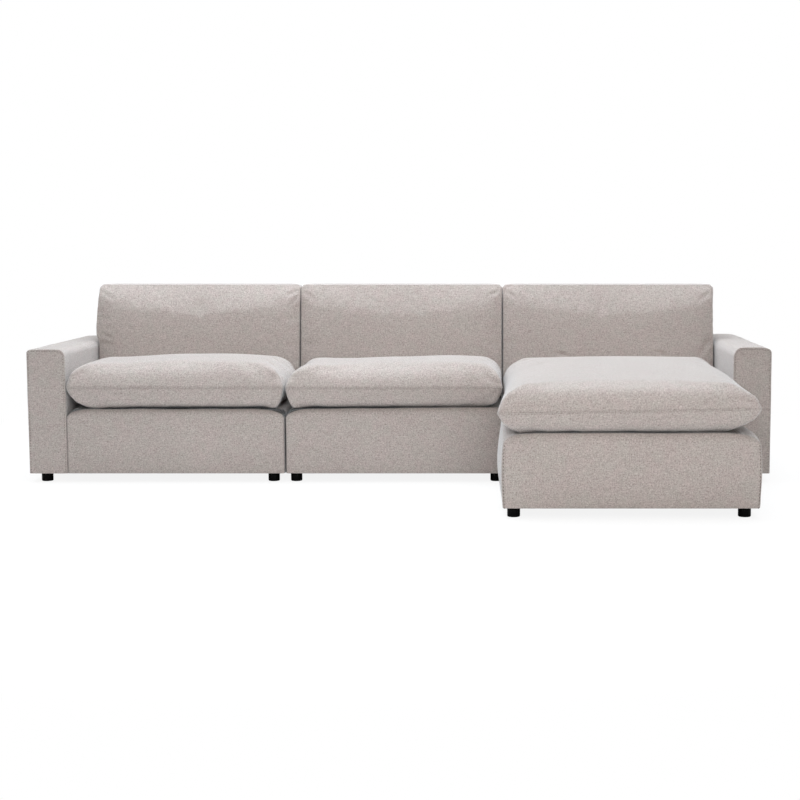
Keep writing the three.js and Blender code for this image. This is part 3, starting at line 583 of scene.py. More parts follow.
# The thread's dark brown is painted shade, as dark as the shadows in the stitch holes.
thread, tree, shader, at = new_material(
    "oatmeal sewing thread", {"Specular IOR Level": 0.35, "Sheen Weight": 0.2})
parts = node(tree, "ShaderNodeSeparateXYZ", {0: at}).outputs
twist = maths(tree, "SINE", times(tree, maths(tree, "ADD", parts["X"], parts["Z"]), 5000.0))
link(tree, shader.inputs["Base Color"], blend_colour(
    tree, span(tree, twist, -1.0, 1.0), (0.10, 0.082, 0.074, 1), (0.21, 0.18, 0.165, 1)))
link(tree, shader.inputs["Roughness"], span(tree, twist, -1.0, 1.0, 0.6, 0.8))


def lay_cloth(piece):
    """A UV map in metres, for each face on the plane that it faces most."""
    mesh = piece.data
    count = len(mesh.loops)
    verts = np.empty(count, np.int32)
    mesh.loops.foreach_get("vertex_index", verts)
    places = np.empty(len(mesh.vertices) * 3)
    mesh.vertices.foreach_get("co", places)
    places = places.reshape(-1, 3)[verts]
    sizes = np.empty(len(mesh.polygons), np.int32)
    mesh.polygons.foreach_get("loop_total", sizes)
    normals = np.empty(len(mesh.polygons) * 3)
    mesh.polygons.foreach_get("normal", normals)
    facing = np.repeat(np.abs(normals.reshape(-1, 3)).argmax(1), sizes)
    flat = np.where((facing == 0)[:, None], places[:, [1, 2]], places[:, [0, 2]])
    flat = np.where((facing == 2)[:, None], places[:, [0, 1]], flat)
    mesh.uv_layers.new(name="cloth").uv.foreach_set("vector", flat.ravel())
    return piece


def corners_of(name):
    low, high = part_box(name)
    return np.array(low), np.array(high)


def read_points(piece):
    points = np.empty(len(piece.data.vertices) * 3)
    piece.data.vertices.foreach_get("co", points)
    return points.reshape(-1, 3)


def write_points(piece, points):
    piece.data.vertices.foreach_set("co", np.ascontiguousarray(points).ravel())
    piece.data.update()


def read_normals(piece):
    normals = np.empty(len(piece.data.vertices) * 3)
    piece.data.vertex_normals.foreach_get("vector", normals)
    return normals.reshape(-1, 3)


def push_out(piece, points, distance):
    """Sets the piece's points, each moved that far along its normal."""
    write_points(piece, points + read_normals(piece) * distance[:, None])


def write_painted_shade(piece, values):
    """The seam attribute, which paints shade into the cloth, a value for each point."""
    layer = piece.data.attributes.new("seam", "FLOAT", "POINT")
    layer.data.foreach_set("value", np.ascontiguousarray(values, dtype=np.float32))


def near_lines(points, lines, reach):
    """1 on the lines, falling to 0 at that reach from them."""
    nearest = np.full(len(points), reach)
    for line in lines:
        line = np.asarray(line)
        for start, end in zip(line[:-1], line[1:]):
            box_low = np.minimum(start, end) - reach
            box_high = np.maximum(start, end) + reach
            close = np.nonzero(((points > box_low) & (points < box_high)).all(1))[0]
            if not len(close):
                continue
            along = end - start
            offset = points[close] - start
            share = np.clip(offset @ along / max(along @ along, 1e-12), 0, 1)
            gap = np.linalg.norm(offset - share[:, None] * along, axis=1)
            nearest[close] = np.minimum(nearest[close], gap)
    return 1 - nearest / reach


def ripple(points, height, seed):
    """A slow unevenness, as of padding under cloth: a fixed sum of waves."""
    chance = np.random.default_rng(seed)
    total = np.zeros(len(points))
    for _ in range(7):
        direction = chance.normal(size=3)
        direction *= chance.uniform(14, 42) / np.linalg.norm(direction)
        total += np.sin(points @ direction + chance.uniform(0, 6.3))
    return total * height / 3


def even_steps(tree, given, step):
    """The curve through the lines given, cut into even steps."""
    return node(tree, "GeometryNodeResampleCurve", {
        "Curve": given_curve(tree, given), "Length": given[step]}, mode="LENGTH").outputs[0]


def repeat(tree, points, piece, **settings):
    return node(tree, "GeometryNodeInstanceOnPoints", {
        "Points": points, "Instance": piece, **settings}).outputs[0]


seam_tree, given, put = growing_tree("folded seam along a line", [
    ("Radius", "NodeSocketFloat", 0.0013), ("Step", "NodeSocketFloat", 0.006)])
section = node(seam_tree, "GeometryNodeCurvePrimitiveCircle", {
    "Resolution": 7, "Radius": given["Radius"]}).outputs[0]
even = even_steps(seam_tree, given, "Step")
finish_tree(seam_tree, sweep(seam_tree, even, section), given, put)

stitch_tree, given, put = growing_tree("stitches along a line", [
    ("Pitch", "NodeSocketFloat", 0.007), ("Length", "NodeSocketFloat", 0.0045),
    ("Thickness", "NodeSocketFloat", 0.0011)])
bead = node(stitch_tree, "GeometryNodeMeshUVSphere", {
    "Segments": 6, "Rings": 4, "Radius": 0.5}).outputs["Mesh"]
heading = node(stitch_tree, "FunctionNodeAlignRotationToVector", {
    "Vector": node(stitch_tree, "GeometryNodeInputTangent").outputs[0]}, axis="Z").outputs[0]
finish_tree(stitch_tree, repeat(
    stitch_tree, even_steps(stitch_tree, given, "Pitch"), bead, Rotation=heading,
    Scale=spot(stitch_tree, given["Thickness"], given["Thickness"], given["Length"])), given, put)


# Seat bases
# Padding and cloth wrapped over the rails: up the outside, over the rounded top edge and in
# under the cushions, tacked below. The chaise base is one deep base whose front part stands a
# little proud of the seat on both sides and swells between its corner seams.

base_bottom = 0.037
base_top = 0.306
base_edge_radius = 0.024
base_corner_radius = 0.009
base_pad = 0.014
base_side_gap = 0.0015
deck_inset = 0.070
deck_bottom = 0.292
least_radius = 0.003
corner_steps = 7
ring_step = 0.02
base_unevenness = 0.0009
base_swell = 0.004
belly_swell = 0.018
corner_swell = 0.005
corner_swell_reach = 0.2
corner_drop = 0.022
corner_drop_start = 0.215
corner_drop_depth = 0.09
corner_reach = 0.085
front_rolls = {"left": (0.0035, 0.0035), "centre": (0.0035, 0.0125), "chaise": (0.0095, 0.0095)}
roll_middle = 0.026
roll_width = 0.022
roll_end = 0.12
panel_seam_foot = 0.040
panel_seam_top = base_top - 0.026
panel_seam_inset = 0.0035
panel_stitch_inset = 0.0068
# Painted shade in the crevice under the cushions' front edges: where it starts behind the front,
# how much sooner where two bases meet, how it fades in, and the unshaded ends of the chaise's
# front.
shade_edge = 0.014
shade_edge_between = 0.011
shade_between_reach = 0.06
shade_fade = 0.008
unshaded_end = 0.06
unshaded_end_fade = 0.03


def inset_corners(outline, inset):
    """The outline's corners moved inwards, so that each side moves by the inset."""
    corners = np.array(outline, float)
    before = corners - np.roll(corners, 1, 0)
    after = np.roll(corners, -1, 0) - corners
    before /= np.linalg.norm(before, axis=1)[:, None]
    after /= np.linalg.norm(after, axis=1)[:, None]
    inward = np.stack([-before[:, 1] - after[:, 1], before[:, 0] + after[:, 0]], 1)
    turn = 1 + before[:, 0] * after[:, 0] + before[:, 1] * after[:, 1]
    return corners + inward * (inset / turn)[:, None]


def rounded_ring(outline, inset, radius, step):
    """An outline moved inwards with its corners rounded. It has the same number of points at
    every inset."""
    corners = inset_corners(outline, inset)
    counts = [max(2, round(math.dist(a, b) / step)) for a, b in zip(
        outline, outline[1:] + outline[:1])]
    total = len(corners)
    starts, ends, arcs = [], [], []
    for i in range(total):
        corner, before, after = corners[i], corners[i - 1], corners[(i + 1) % total]
        to_before, to_after = before - corner, after - corner
        reach = min(radius, np.linalg.norm(to_before) * 0.4, np.linalg.norm(to_after) * 0.4)
        start = corner + to_before / np.linalg.norm(to_before) * reach
        end = corner + to_after / np.linalg.norm(to_after) * reach
        share = np.linspace(0, 1, corner_steps)[:, None]
        arcs.append(
            (1 - share) ** 2 * start + 2 * share * (1 - share) * corner + share ** 2 * end)
        starts.append(start)
        ends.append(end)
    ring = []
    for i in range(total):
        ring.append(arcs[i])
        share = np.linspace(0, 1, counts[i] + 1)[1:-1, None]
        ring.append(ends[i] + (starts[(i + 1) % total] - ends[i]) * share)
    return np.concatenate(ring)


def at_height(flat, height):
    return np.column_stack([flat, np.full(len(flat), height)])


def join_rings(rings, closed):
    """Faces between rings of equal count, all the way round. Where closed, the last is joined
    to the first."""
    count = len(rings[0])
    faces = []
    for r in range(len(rings) if closed else len(rings) - 1):
        low, high = r * count, (r + 1) % len(rings) * count
        for i in range(count):
            j = (i + 1) % count
            faces.append((low + i, low + j, high + j, high + i))
    return faces


def base_outline(name):
    """The base's outline, anticlockwise from its front left corner. Its sides are 3 mm apart
    between the left and centre units."""
    low, high = corners_of(f"{name}_base_cover")
    left, front, right, rear = low[0], low[1], high[0], high[1]
    if name != "chaise":
        left += base_side_gap * (name == "centre")
        right -= base_side_gap * (name == "left")
        return [(left, front), (right, front), (right, rear), (left, rear)]
    front_left, front_right = chaise_front_sides
    seat_left = chaise_seat_sides[0]
    return [
        (front_left, front), (front_right, front), (front_right, chaise_right_step),
        (right, chaise_right_step), (right, rear), (seat_left, rear),
        (seat_left, chaise_left_step), (front_left, chaise_left_step),
    ]


def front_sides(name):
    """Where the base's front panel ends at its left and right."""
    low, high = corners_of(f"{name}_base_cover")
    return chaise_front_sides if name == "chaise" else (low[0], high[0])


def base_section():
    """The cover's section as (inset, height, fullness), up the outside and back down inside."""
    section = [(0.010, base_bottom, 0), (0.003, base_bottom, 0), (0.0008, base_bottom + 0.0012, 0)]
    low, high = base_bottom + 0.004, base_top - base_edge_radius
    for share in np.linspace(0, 1, 15):
        section.append((0, low + (high - low) * share, math.sin(math.pi * share)))
    for turn in np.linspace(0, math.pi / 2, 8)[1:]:
        section.append((
            base_edge_radius * (1 - math.cos(turn)),
            base_top - base_edge_radius * (1 - math.sin(turn)), 0,
        ))
    section += [(inset, base_top, 0) for inset in (0.030, 0.036, 0.042, 0.049, 0.057, 0.064)]
    section += [(deck_inset, base_top - 0.0015, 0), (deck_inset, deck_bottom, 0)]
    section += [(base_pad, deck_bottom, 0), (base_pad, base_bottom, 0)]
    return section


def swell_sides(points, fullness, name):
    """Padding pushes the free sides out and rolls up behind the front's top edge. The ends of
    that edge are drawn down, but not where the centre base meets the chaise."""
    front = corners_of(f"{name}_base_cover")[0][1]
    left, right = front_sides(name)
    out = points.copy()
    across = np.clip((points[:, 0] - left) / (right - left), 0, 1)
    full = fullness * (1 - (2 * across - 1) ** 6)
    behind = points[:, 1] - front
    out[:, 1] -= np.where(points[:, 1] < front + 0.004, base_swell * full, 0)
    if name == "chaise":
        share = behind / (chaise_left_step - front)
        inside = (share > 0) & (share < 1) & (fullness > 0)
        wave = np.sin(math.pi * np.clip(share, 0, 1)) ** 0.8 * fullness ** 0.8 * belly_swell
        edge = corner_swell * fullness * np.clip(1 - behind / corner_swell_reach, 0, 1) ** 2
        out[:, 0] -= np.where(inside & (points[:, 0] < left + 0.01), wave, 0)
        out[:, 0] += np.where(inside & (points[:, 0] > right - 0.01), wave, 0)
        out[:, 0] += edge * (2 * across - 1) ** 5
    end = points[:, 0] - left
    if name != "centre":
        end = np.minimum(end, right - points[:, 0])
    pull = np.clip(1 - end / corner_reach, 0, 1) ** 2
    lift = np.clip((points[:, 2] - corner_drop_start) / (base_top - corner_drop_start), 0, 1)
    depth = np.clip(1 - behind / corner_drop_depth, 0, 1) ** 1.2
    out[:, 2] -= corner_drop * pull * lift ** 1.5 * depth
    roll = np.exp(-((behind - roll_middle) / roll_width) ** 2) * np.clip(end / roll_end, 0, 1)
    height = np.interp(across, (0, 1), front_rolls[name])
    out[:, 2] += height * roll * (points[:, 2] > base_top - 0.012)
    return out


def paint_crevice_shade(points, name):
    """Painted shade: 1 in the crevice under the front of the cushions, and 0 elsewhere. It begins
    further forward where two bases meet, and leaves the open ends of the chaise's front unshaded."""
    left, right = front_sides(name)
    behind = points[:, 1] - corners_of(f"{name}_base_cover")[0][1]
    between = {"left": right - points[:, 0], "centre": points[:, 0] - left}.get(name, 1.0)
    edge = shade_edge - shade_edge_between * np.clip(1 - between / shade_between_reach, 0, 1)
    dust_and_shade = np.clip((behind - edge) / shade_fade, 0, 1)
    dust_and_shade *= (behind < deck_inset + 0.005) * (points[:, 2] > base_top - 0.03)
    if name == "chaise":
        end = np.minimum(points[:, 0] - left, right - points[:, 0])
        dust_and_shade *= np.clip((end - unshaded_end) / unshaded_end_fade, 0, 1)
    return dust_and_shade


for name in ("left", "centre", "chaise"):
    outline, section = base_outline(name), base_section()
    rings = [
        at_height(rounded_ring(outline, inset, max(
            base_corner_radius - inset, least_radius), ring_step), height)
        for inset, height, _ in section
    ]
    fullness = np.repeat([full for _, _, full in section], len(rings[0]))
    outer = np.repeat([i < len(section) - 3 for i in range(len(section))], len(rings[0]))
    points = np.concatenate(rings)
    shaped = swell_sides(points, fullness, name)
    cover = new_object(f"{name}_base_upholstery", shaped, join_rings(rings, True))
    push_out(cover, shaped, ripple(
        shaped, base_unevenness, 11) * outer * (points[:, 2] > 0.06))

    def corner_lines(inset, y):
        """Lines up the front panel at its two ends, from the hem to the rounded top edge."""
        rise = np.linspace(0, 1, 40)
        up = panel_seam_foot + (panel_seam_top - panel_seam_foot) * rise
        left, right = front_sides(name)
        return [swell_sides(
            np.column_stack([np.full(40, x), np.full(40, y), up]), np.sin(math.pi * rise), name)
            for x in (left + inset, right - inset)]

    front = corners_of(f"{name}_base_cover")[0][1]
    seams = corner_lines(panel_seam_inset, front + 0.0012)
    # Painted shade: darker along the front panel's corner seams, and nearly black in the crevice
    # under the cushions.
    write_painted_shade(cover, np.maximum(
        near_lines(shaped, seams, 0.006), 2 * paint_crevice_shade(shaped, name)))
    if name == "chaise":
        welts = lay_cloth(grow("chaise_base_corner_seams", seams, seam_tree, radius=0.0013,
                               step=0.006, material=oatmeal))
        rows = grow(
            "chaise_base_corner_stitches", corner_lines(panel_stitch_inset, front - 0.0006),
            stitch_tree, pitch=0.0125, length=0.0080, thickness=0.0028, material=thread)
        for piece in (welts, rows):
            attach(piece, "chaise_unit")
    lay_cloth(smooth(cover, 60)).data.materials.append(oatmeal)
    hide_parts(f"{name}_base_cover")
    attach(cover, f"{name}_unit")


# Deck pads
# A thin felt pad in plain decking cloth lies on the webbing inside each base, level with the
# top of the rails. The cloth is sewn to the base's flange with a row of stitches.

deck_corner = 0.004
deck_step = 0.03
deck_stitch_inset = 0.0655

deck_cloth = upholstery(
    "decking cloth", (0.30, 0.27, 0.25, 1), (0.42, 0.385, 0.36, 1), (0.5, 0.47, 0.44, 1),
    0.0012, 0.15, 0.8)


def triangulate_caps(piece):
    """Splits the faces of more than four corners, so that the flat ends shade evenly."""
    shell = bmesh.new()
    shell.from_mesh(piece.data)
    bmesh.ops.triangulate(shell, faces=[f for f in shell.faces if len(f.verts) > 4])
    shell.to_mesh(piece.data)
    shell.free()
    return piece


for name in ("left", "centre", "chaise"):
    outline = base_outline(name)
    rings = []
    for inset, height in (
        (0.0725, deck_bottom + 0.0005), (0.0706, deck_bottom + 0.002),
        (0.0706, base_top - 0.005), (0.0715, base_top - 0.002), (0.0745, base_top - 0.0004),
        (0.082, base_top), (0.13, base_top),
    ):
        rings.append(at_height(rounded_ring(outline, inset, deck_corner, deck_step), height))
    faces = join_rings(rings, False)
    count = len(rings[0])
    faces.append(tuple(range(count))[::-1])
    faces.append(tuple(range(len(rings) * count - count, len(rings) * count)))
    pad = triangulate_caps(new_object(f"{name}_deck_pad_cloth", np.concatenate(rings), faces))
    lay_cloth(smooth(pad, 50)).data.materials.append(deck_cloth)
    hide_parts(f"{name}_deck_pad")
    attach(pad, f"{name}_unit")
    around = rounded_ring(outline, deck_stitch_inset, deck_corner, deck_step)
    row = grow(
        f"{name}_deck_stitches", [at_height(around, base_top + 0.0002)], stitch_tree,
        closed=True, pitch=0.010, length=0.0065, thickness=0.0013, material=thread)
    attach(row, f"{name}_unit")


# Dust covers
# Black non-woven cloth stapled to the underside of each base. It hangs a few millimetres in the
# middle of the bays.

dust_height = 0.0375
dust_sag = 0.005
sheet_thickness = 0.0006
sheet_step = 0.045
sag_start = 0.075
sag_ramp = 0.12
sag_reach = 0.28
staple_inset = 0.010
sheet_corner = 0.004
sheet_edge_step = 0.05


def thicken(piece, thickness, offset):
    """Gives a cloth its thickness: inwards for an offset of -1, both ways for 0."""
    wall = piece.modifiers.new("cloth thickness", "SOLIDIFY")
    wall.thickness = thickness
    wall.offset = offset


dust_cloth, tree, shader, at = new_material(
    "black non-woven cloth", {"Specular IOR Level": 0.25, "Sheen Weight": 0.15})
fibres = noise(tree, stretched(tree, at, (1.0, 0.25, 1.0)), 520.0, 4.0, 0.75)
dots = node(tree, "ShaderNodeTexVoronoi", {"Vector": at, "Scale": 420.0}).outputs["Distance"]
link(tree, shader.inputs["Base Color"], blend_colour(
    tree, span(tree, fibres, 0.35, 0.75), (0.008, 0.008, 0.009, 1), (0.035, 0.034, 0.035, 1)))
link(tree, shader.inputs["Roughness"], span(tree, fibres, 0.3, 0.7, 0.95, 0.75))
emboss(tree, shader, maths(tree, "ADD", fibres, dots), 0.4, 0.0003)

zinc, tree, shader, at = new_material("zinc plated steel", {"Metallic": 1.0})
spangle = node(tree, "ShaderNodeTexVoronoi", {"Vector": at, "Scale": 160.0}).outputs["Color"]
spangle = node(tree, "ShaderNodeSeparateColor", {0: spangle}).outputs[0]
wear = use_group(tree, scuffs, {"Vector": at, "Amount": 0.9})
colour = blend_colour(tree, spangle, (0.52, 0.53, 0.54, 1), (0.66, 0.67, 0.68, 1))
link(tree, shader.inputs["Base Color"], blend_colour(
    tree, wear["Mask"], colour, (0.33, 0.32, 0.31, 1)))
link(tree, shader.inputs["Roughness"], maths(
    tree, "ADD", span(tree, spangle, 0.0, 1.0, 0.28, 0.42), wear["Mask"]))
emboss(tree, shader, wear["Grain"], 0.2, 0.0002)

for name in ("left", "centre", "chaise"):
    outline = base_outline(name)
    edge = rounded_ring(outline, rail_inset, sheet_corner, sheet_edge_step)
    low, high = corners_of(f"{name}_base_cover")
    shell = bmesh.new()
    shell.faces.new([shell.verts.new((x, y, dust_height)) for x, y in edge])
    for axis in (0, 1):
        across = Vector((1 - axis, axis, 0))
        for place in np.arange(low[axis] + 0.03, high[axis], sheet_step):
            bmesh.ops.bisect_plane(
                shell, geom=shell.verts[:] + shell.edges[:] + shell.faces[:],
                plane_co=across * place, plane_no=across)
    bmesh.ops.recalc_face_normals(shell, faces=shell.faces)
    sheet = new_object(f"{name}_dust_sheet", [], [])
    shell.to_mesh(sheet.data)
    shell.free()
    points = read_points(sheet)
    line = at_height(edge, dust_height)
    line = np.concatenate([line, line[:1]])
    inside = (1 - near_lines(points, [line], sag_reach)) * sag_reach
    points[:, 2] -= dust_sag * (np.clip(inside - sag_start, 0, sag_ramp) / sag_ramp) ** 1.5
    write_points(sheet, points)
    thicken(sheet, sheet_thickness, 0)
    lay_cloth(smooth(sheet, 60)).data.materials.append(dust_cloth)
    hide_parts(f"{name}_dust_cover")
    width, length = high[0] - low[0] - 2 * rail_inset, high[1] - low[1] - 2 * rail_inset
    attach(sheet, f"{name}_unit")
    around = rounded_ring(outline, rail_inset + staple_inset, sheet_corner, sheet_edge_step)
    row = grow(
        f"{name}_dust_sheet_staples", [at_height(around, dust_height - 0.0005)], stitch_tree,
        closed=True, pitch=0.052, length=0.010, thickness=0.0009, material=zinc)
    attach(row, f"{name}_unit")


# Sectional connectors
# Pressed steel brackets under the sides of the bases: the centre unit's catches turn up, the
# outer units' hooks turn down inside them. Pan-head screws hold each plate to its rail.

plate_bottom = 0.0337
screw_radius = 0.0042
screw_places = ((0.012, -0.018), (0.012, 0.018), (0.034, 0.0))

screw_tree, given, put = growing_tree("pan-head screws at points", [
    ("Head radius", "NodeSocketFloat", screw_radius)])
rim = node(screw_tree, "GeometryNodeMeshCylinder", {
    "Vertices": 20, "Radius": 1.0, "Depth": 0.3}).outputs["Mesh"]
dome = node(screw_tree, "GeometryNodeMeshUVSphere", {
    "Segments": 20, "Rings": 8, "Radius": 0.8}).outputs["Mesh"]
dome = node(screw_tree, "GeometryNodeTransform", {
    "Geometry": dome, "Scale": (1.0, 1.0, 0.55)}).outputs[0]
slot_x = node(screw_tree, "GeometryNodeMeshCube", {"Size": (0.9, 0.16, 0.95)}).outputs["Mesh"]
slot_y = node(screw_tree, "GeometryNodeMeshCube", {"Size": (0.16, 0.9, 0.95)}).outputs["Mesh"]
head = node(screw_tree, "GeometryNodeJoinGeometry")
for part in (rim, dome, slot_x, slot_y):
    link(screw_tree, head.inputs[0], part)
finish_tree(screw_tree, repeat(
    screw_tree, given["Geometry"], head.outputs[0],
    Scale=spot(screw_tree, *[given["Head radius"]] * 3)), given, put)

connectors = {
    "centre_unit": [("centre_catch_left_front", 1), ("centre_catch_left_rear", 1),
                    ("centre_catch_chaise_front", -1), ("centre_catch_chaise_rear", -1)],
    "left_unit": [("left_hook_front", -1), ("left_hook_rear", -1)],
    "chaise_unit": [("chaise_hook_front", 1), ("chaise_hook_rear", 1)],
}
for body, brackets in connectors.items():
    places = []
    for name, away in brackets:
        repaint(name, zinc)
        low, high = corners_of(name)
        end = high[0] if away > 0 else low[0]
        middle = (low[1] + high[1]) / 2
        for back, aside in screw_places:
            places.append([(end - away * back, middle + aside, plate_bottom - 0.0002)])
    screws = grow(f"{body}_bracket_screws", places, screw_tree,
                  head_radius=screw_radius, material=zinc)
    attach(screws, body)


# Arms
# Squared track arms: cloth over a thin pad on a box of boards, open below. The front panel is
# set in with a folded seam and a row of stitches along its outer, top and inner edges. The top
# is slightly crowned, softer on the seat's side.

arm_shoulder = 0.558
arm_crowns = {"left": 0.0045, "chaise": 0.0135}
arm_inner_radius = 0.028
arm_outer_radius = 0.012
arm_face_radius = 0.007
arm_swell = 0.0022
arm_crown_start = 0.50
arm_crown_rise = 0.058
arm_wall = 0.006


def spaced(low, high, edge, step):
    """Places along a length: close together at both edges and evenly spread between."""
    near = edge * np.array([0, 0.15, 0.32, 0.5, 0.7, 0.88, 1.0])
    count = max(1, round((high - low - 2 * edge) / step))
    middle = np.linspace(low + edge, high - edge, count + 1)[1:-1]
    return np.concatenate([low + near, middle, high - near[::-1]])


def box_surface(xs, ys, zs, open_below=False):
    """The points and faces of a box divided at those places."""
    shape = (len(xs), len(ys), len(zs))
    on_skin = np.ones(shape, bool)
    on_skin[1:-1, 1:-1, 0 if open_below else 1:-1] = False
    number = -np.ones(shape, int)
    number[on_skin] = np.arange(on_skin.sum())
    i, j, k = np.nonzero(on_skin)
    points = np.stack([xs[i], ys[j], zs[k]], 1)

    def side(grid, outwards):
        quads = np.stack([grid[:-1, :-1], grid[1:, :-1], grid[1:, 1:], grid[:-1, 1:]], -1)
        quads = quads.reshape(-1, 4)
        return quads if outwards else quads[:, ::-1]

    faces = [
        side(number[0], False), side(number[-1], True),
        side(number[:, 0], True), side(number[:, -1], False), side(number[:, :, -1], True),
    ]
    if not open_below:
        faces.append(side(number[:, :, 0], False))
    return points, np.concatenate(faces)


def round_corner(flat, corner, way, radius):
    """Rounds one corner of a section: way is the direction from the section to the corner."""
    centre = corner - way * radius
    away = (flat - centre) * way
    inside = (away > 0).all(1)
    largest = away.max(1)
    length = np.linalg.norm(away, axis=1)
    share = np.where(inside, largest / np.maximum(length, 1e-9), 1)
    return np.where(inside[:, None], centre + (flat - centre) * share[:, None], flat)


def round_faces(points, low, high, radius):
    """Rounds the edges of the front and rear faces of a box that runs along y, all the way
    round its section in x and z, apart from the bottom."""
    x, y, z = points.T.copy()
    depth = np.minimum(np.minimum(x - low[0], high[0] - x), high[2] - z)
    end = np.minimum(y - low[1], high[1] - y)
    a = np.clip(radius - depth, 0, radius)
    b = np.clip(radius - end, 0, radius)
    share = np.maximum(a, b) / np.maximum(np.hypot(a, b), 1e-9)
    new_depth = np.where((a > 0) & (b > 0), radius - a * share, depth)
    new_end = np.where((a > 0) & (b > 0), radius - b * share, end)
    x = np.clip(x, low[0] + new_depth, high[0] - new_depth)
    z = np.minimum(z, high[2] - new_depth)
    front = y - low[1] < high[1] - y
    y = np.where(front, low[1] + new_end, high[1] - new_end)
    return np.stack([x, y, z], 1)


def hoop(low, high, inset, foot, top, ups, flats):
    """Places (across, up) that run up one side, along the top and down the other side."""
    up = np.linspace(foot, top - inset, ups)
    flat = np.linspace(low + inset, high - inset, flats)[1:-1]
    return np.concatenate([
        np.column_stack([np.full(ups, low + inset), up]),
        np.column_stack([flat, np.full(len(flat), top - inset)]),
        np.column_stack([np.full(ups, high - inset), up[::-1]]),
    ])


def shape_arm(points, low, high, inner, crown):
    """A box's points, moved to the arm's shape. inner is +1 where the seat is on the +X side."""
    top = np.array([low[0], low[1], base_bottom]), np.array([high[0], high[1], arm_shoulder])
    out = round_faces(points, *top, arm_face_radius)
    flat = out[:, [0, 2]]
    for way, radius in ((inner, arm_inner_radius), (-inner, arm_outer_radius)):
        corner = np.array([high[0] if way > 0 else low[0], arm_shoulder])
        flat = round_corner(flat, corner, np.array([way, 1.0]), radius)
    out[:, 0], out[:, 2] = flat.T
    middle, half = (low[0] + high[0]) / 2, (high[0] - low[0]) / 2
    across = np.clip((out[:, 0] - middle) / half, -1, 1)
    upper = np.clip((out[:, 2] - arm_crown_start) / arm_crown_rise, 0, 1)
    out[:, 2] += crown * (1 - across ** 4) * upper
    rise = np.clip((out[:, 2] - base_bottom) / (arm_shoulder - base_bottom), 0, 1)
    pillow = np.sin(math.pi * rise) ** 0.7
    ends = np.clip((out[:, 1] - low[1]) / (high[1] - low[1]), 0, 1)
    face = np.clip(1 - (out[:, 1] - low[1]) / 0.002, 0, 1) - np.clip(
        1 - (high[1] - out[:, 1]) / 0.002, 0, 1)
    out[:, 1] -= face * arm_swell * pillow * (1 - across ** 4)
    outer = np.clip(1 - np.abs(out[:, 0] - (high[0] if inner < 0 else low[0])) / 0.002, 0, 1)
    out[:, 0] -= inner * outer * arm_swell * pillow * np.sin(math.pi * ends) ** 0.5
    return out


for name, inner in (("left", 1), ("chaise", -1)):
    low, high = corners_of(f"{name}_arm_cover")
    xs = spaced(low[0], high[0], arm_inner_radius, 0.016)
    ys = spaced(low[1], high[1], arm_face_radius, 0.022)
    zs = np.concatenate([
        base_bottom + np.array([0, 0.0015]), np.linspace(base_bottom + 0.012, 0.52, 24)[:-1],
        arm_shoulder - arm_inner_radius * np.array(
            [1.0, 0.85, 0.7, 0.55, 0.42, 0.3, 0.18, 0.08, 0]),
    ])
    points, faces = box_surface(xs, ys, zs, open_below=True)
    shaped = shape_arm(points, low, high, inner, arm_crowns[name])
    cover = new_object(f"{name}_arm_upholstery", shaped, faces)
    seat_side = high[0] if inner > 0 else low[0]
    slack = np.clip((shaped[:, 2] - base_bottom) / 0.05, 0, 1)
    slack *= np.where(inner * seat_side - inner * shaped[:, 0] < 0.003,
                      np.where(shaped[:, 2] > 0.33, 0.5, 0.1), 1.0)
    push_out(cover, shaped, ripple(shaped, 0.0008, 23 + inner) * slack)
    thicken(cover, arm_wall, -1)

    def panel_line(inset, foot):
        """A line round the front panel at that distance inside its edge, from hem to hem."""
        across, up = hoop(low[0], high[0], inset, foot, arm_shoulder, 60, 60).T
        line = np.column_stack([across, np.full(len(up), low[1]), up])
        return shape_arm(line, low, high, inner, arm_crowns[name])

    edge = panel_line(0.0, base_bottom + 0.002)
    # Painted shade along the front panel's seam.
    write_painted_shade(cover, near_lines(shaped, [edge], 0.005))
    lay_cloth(smooth(cover, 60)).data.materials.append(oatmeal)
    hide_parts(f"{name}_arm_cover")
    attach(cover, f"{name}_unit")
    welt = lay_cloth(grow(f"{name}_arm_panel_seam", [edge], seam_tree, radius=0.0016,
                          step=0.006, material=oatmeal))
    row = grow(
        f"{name}_arm_panel_stitches", [panel_line(0.0075, base_bottom + 0.006) - (0, 0.0003, 0)],
        stitch_tree, pitch=0.0110, length=0.0070, thickness=0.0019, material=thread)
    for piece in (welt, row):
        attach(piece, f"{name}_unit")


# Backs
# A padded back stands behind the deck of each unit. Its front leans, its rear is upright and it
# is open below. Seams run along its two top edges and down its rear corners, with a row of
# stitches beside the rear one.

back_front = 0.6965
back_rear = 0.9125
back_top = 0.740
back_edge_radius = 0.018
back_side_radius = 0.006
back_side_swell = 0.0016
back_slope = math.tan(math.radians(9))
back_wall = 0.005
back_swell = 0.0022
back_ups = 50
back_flats = 80


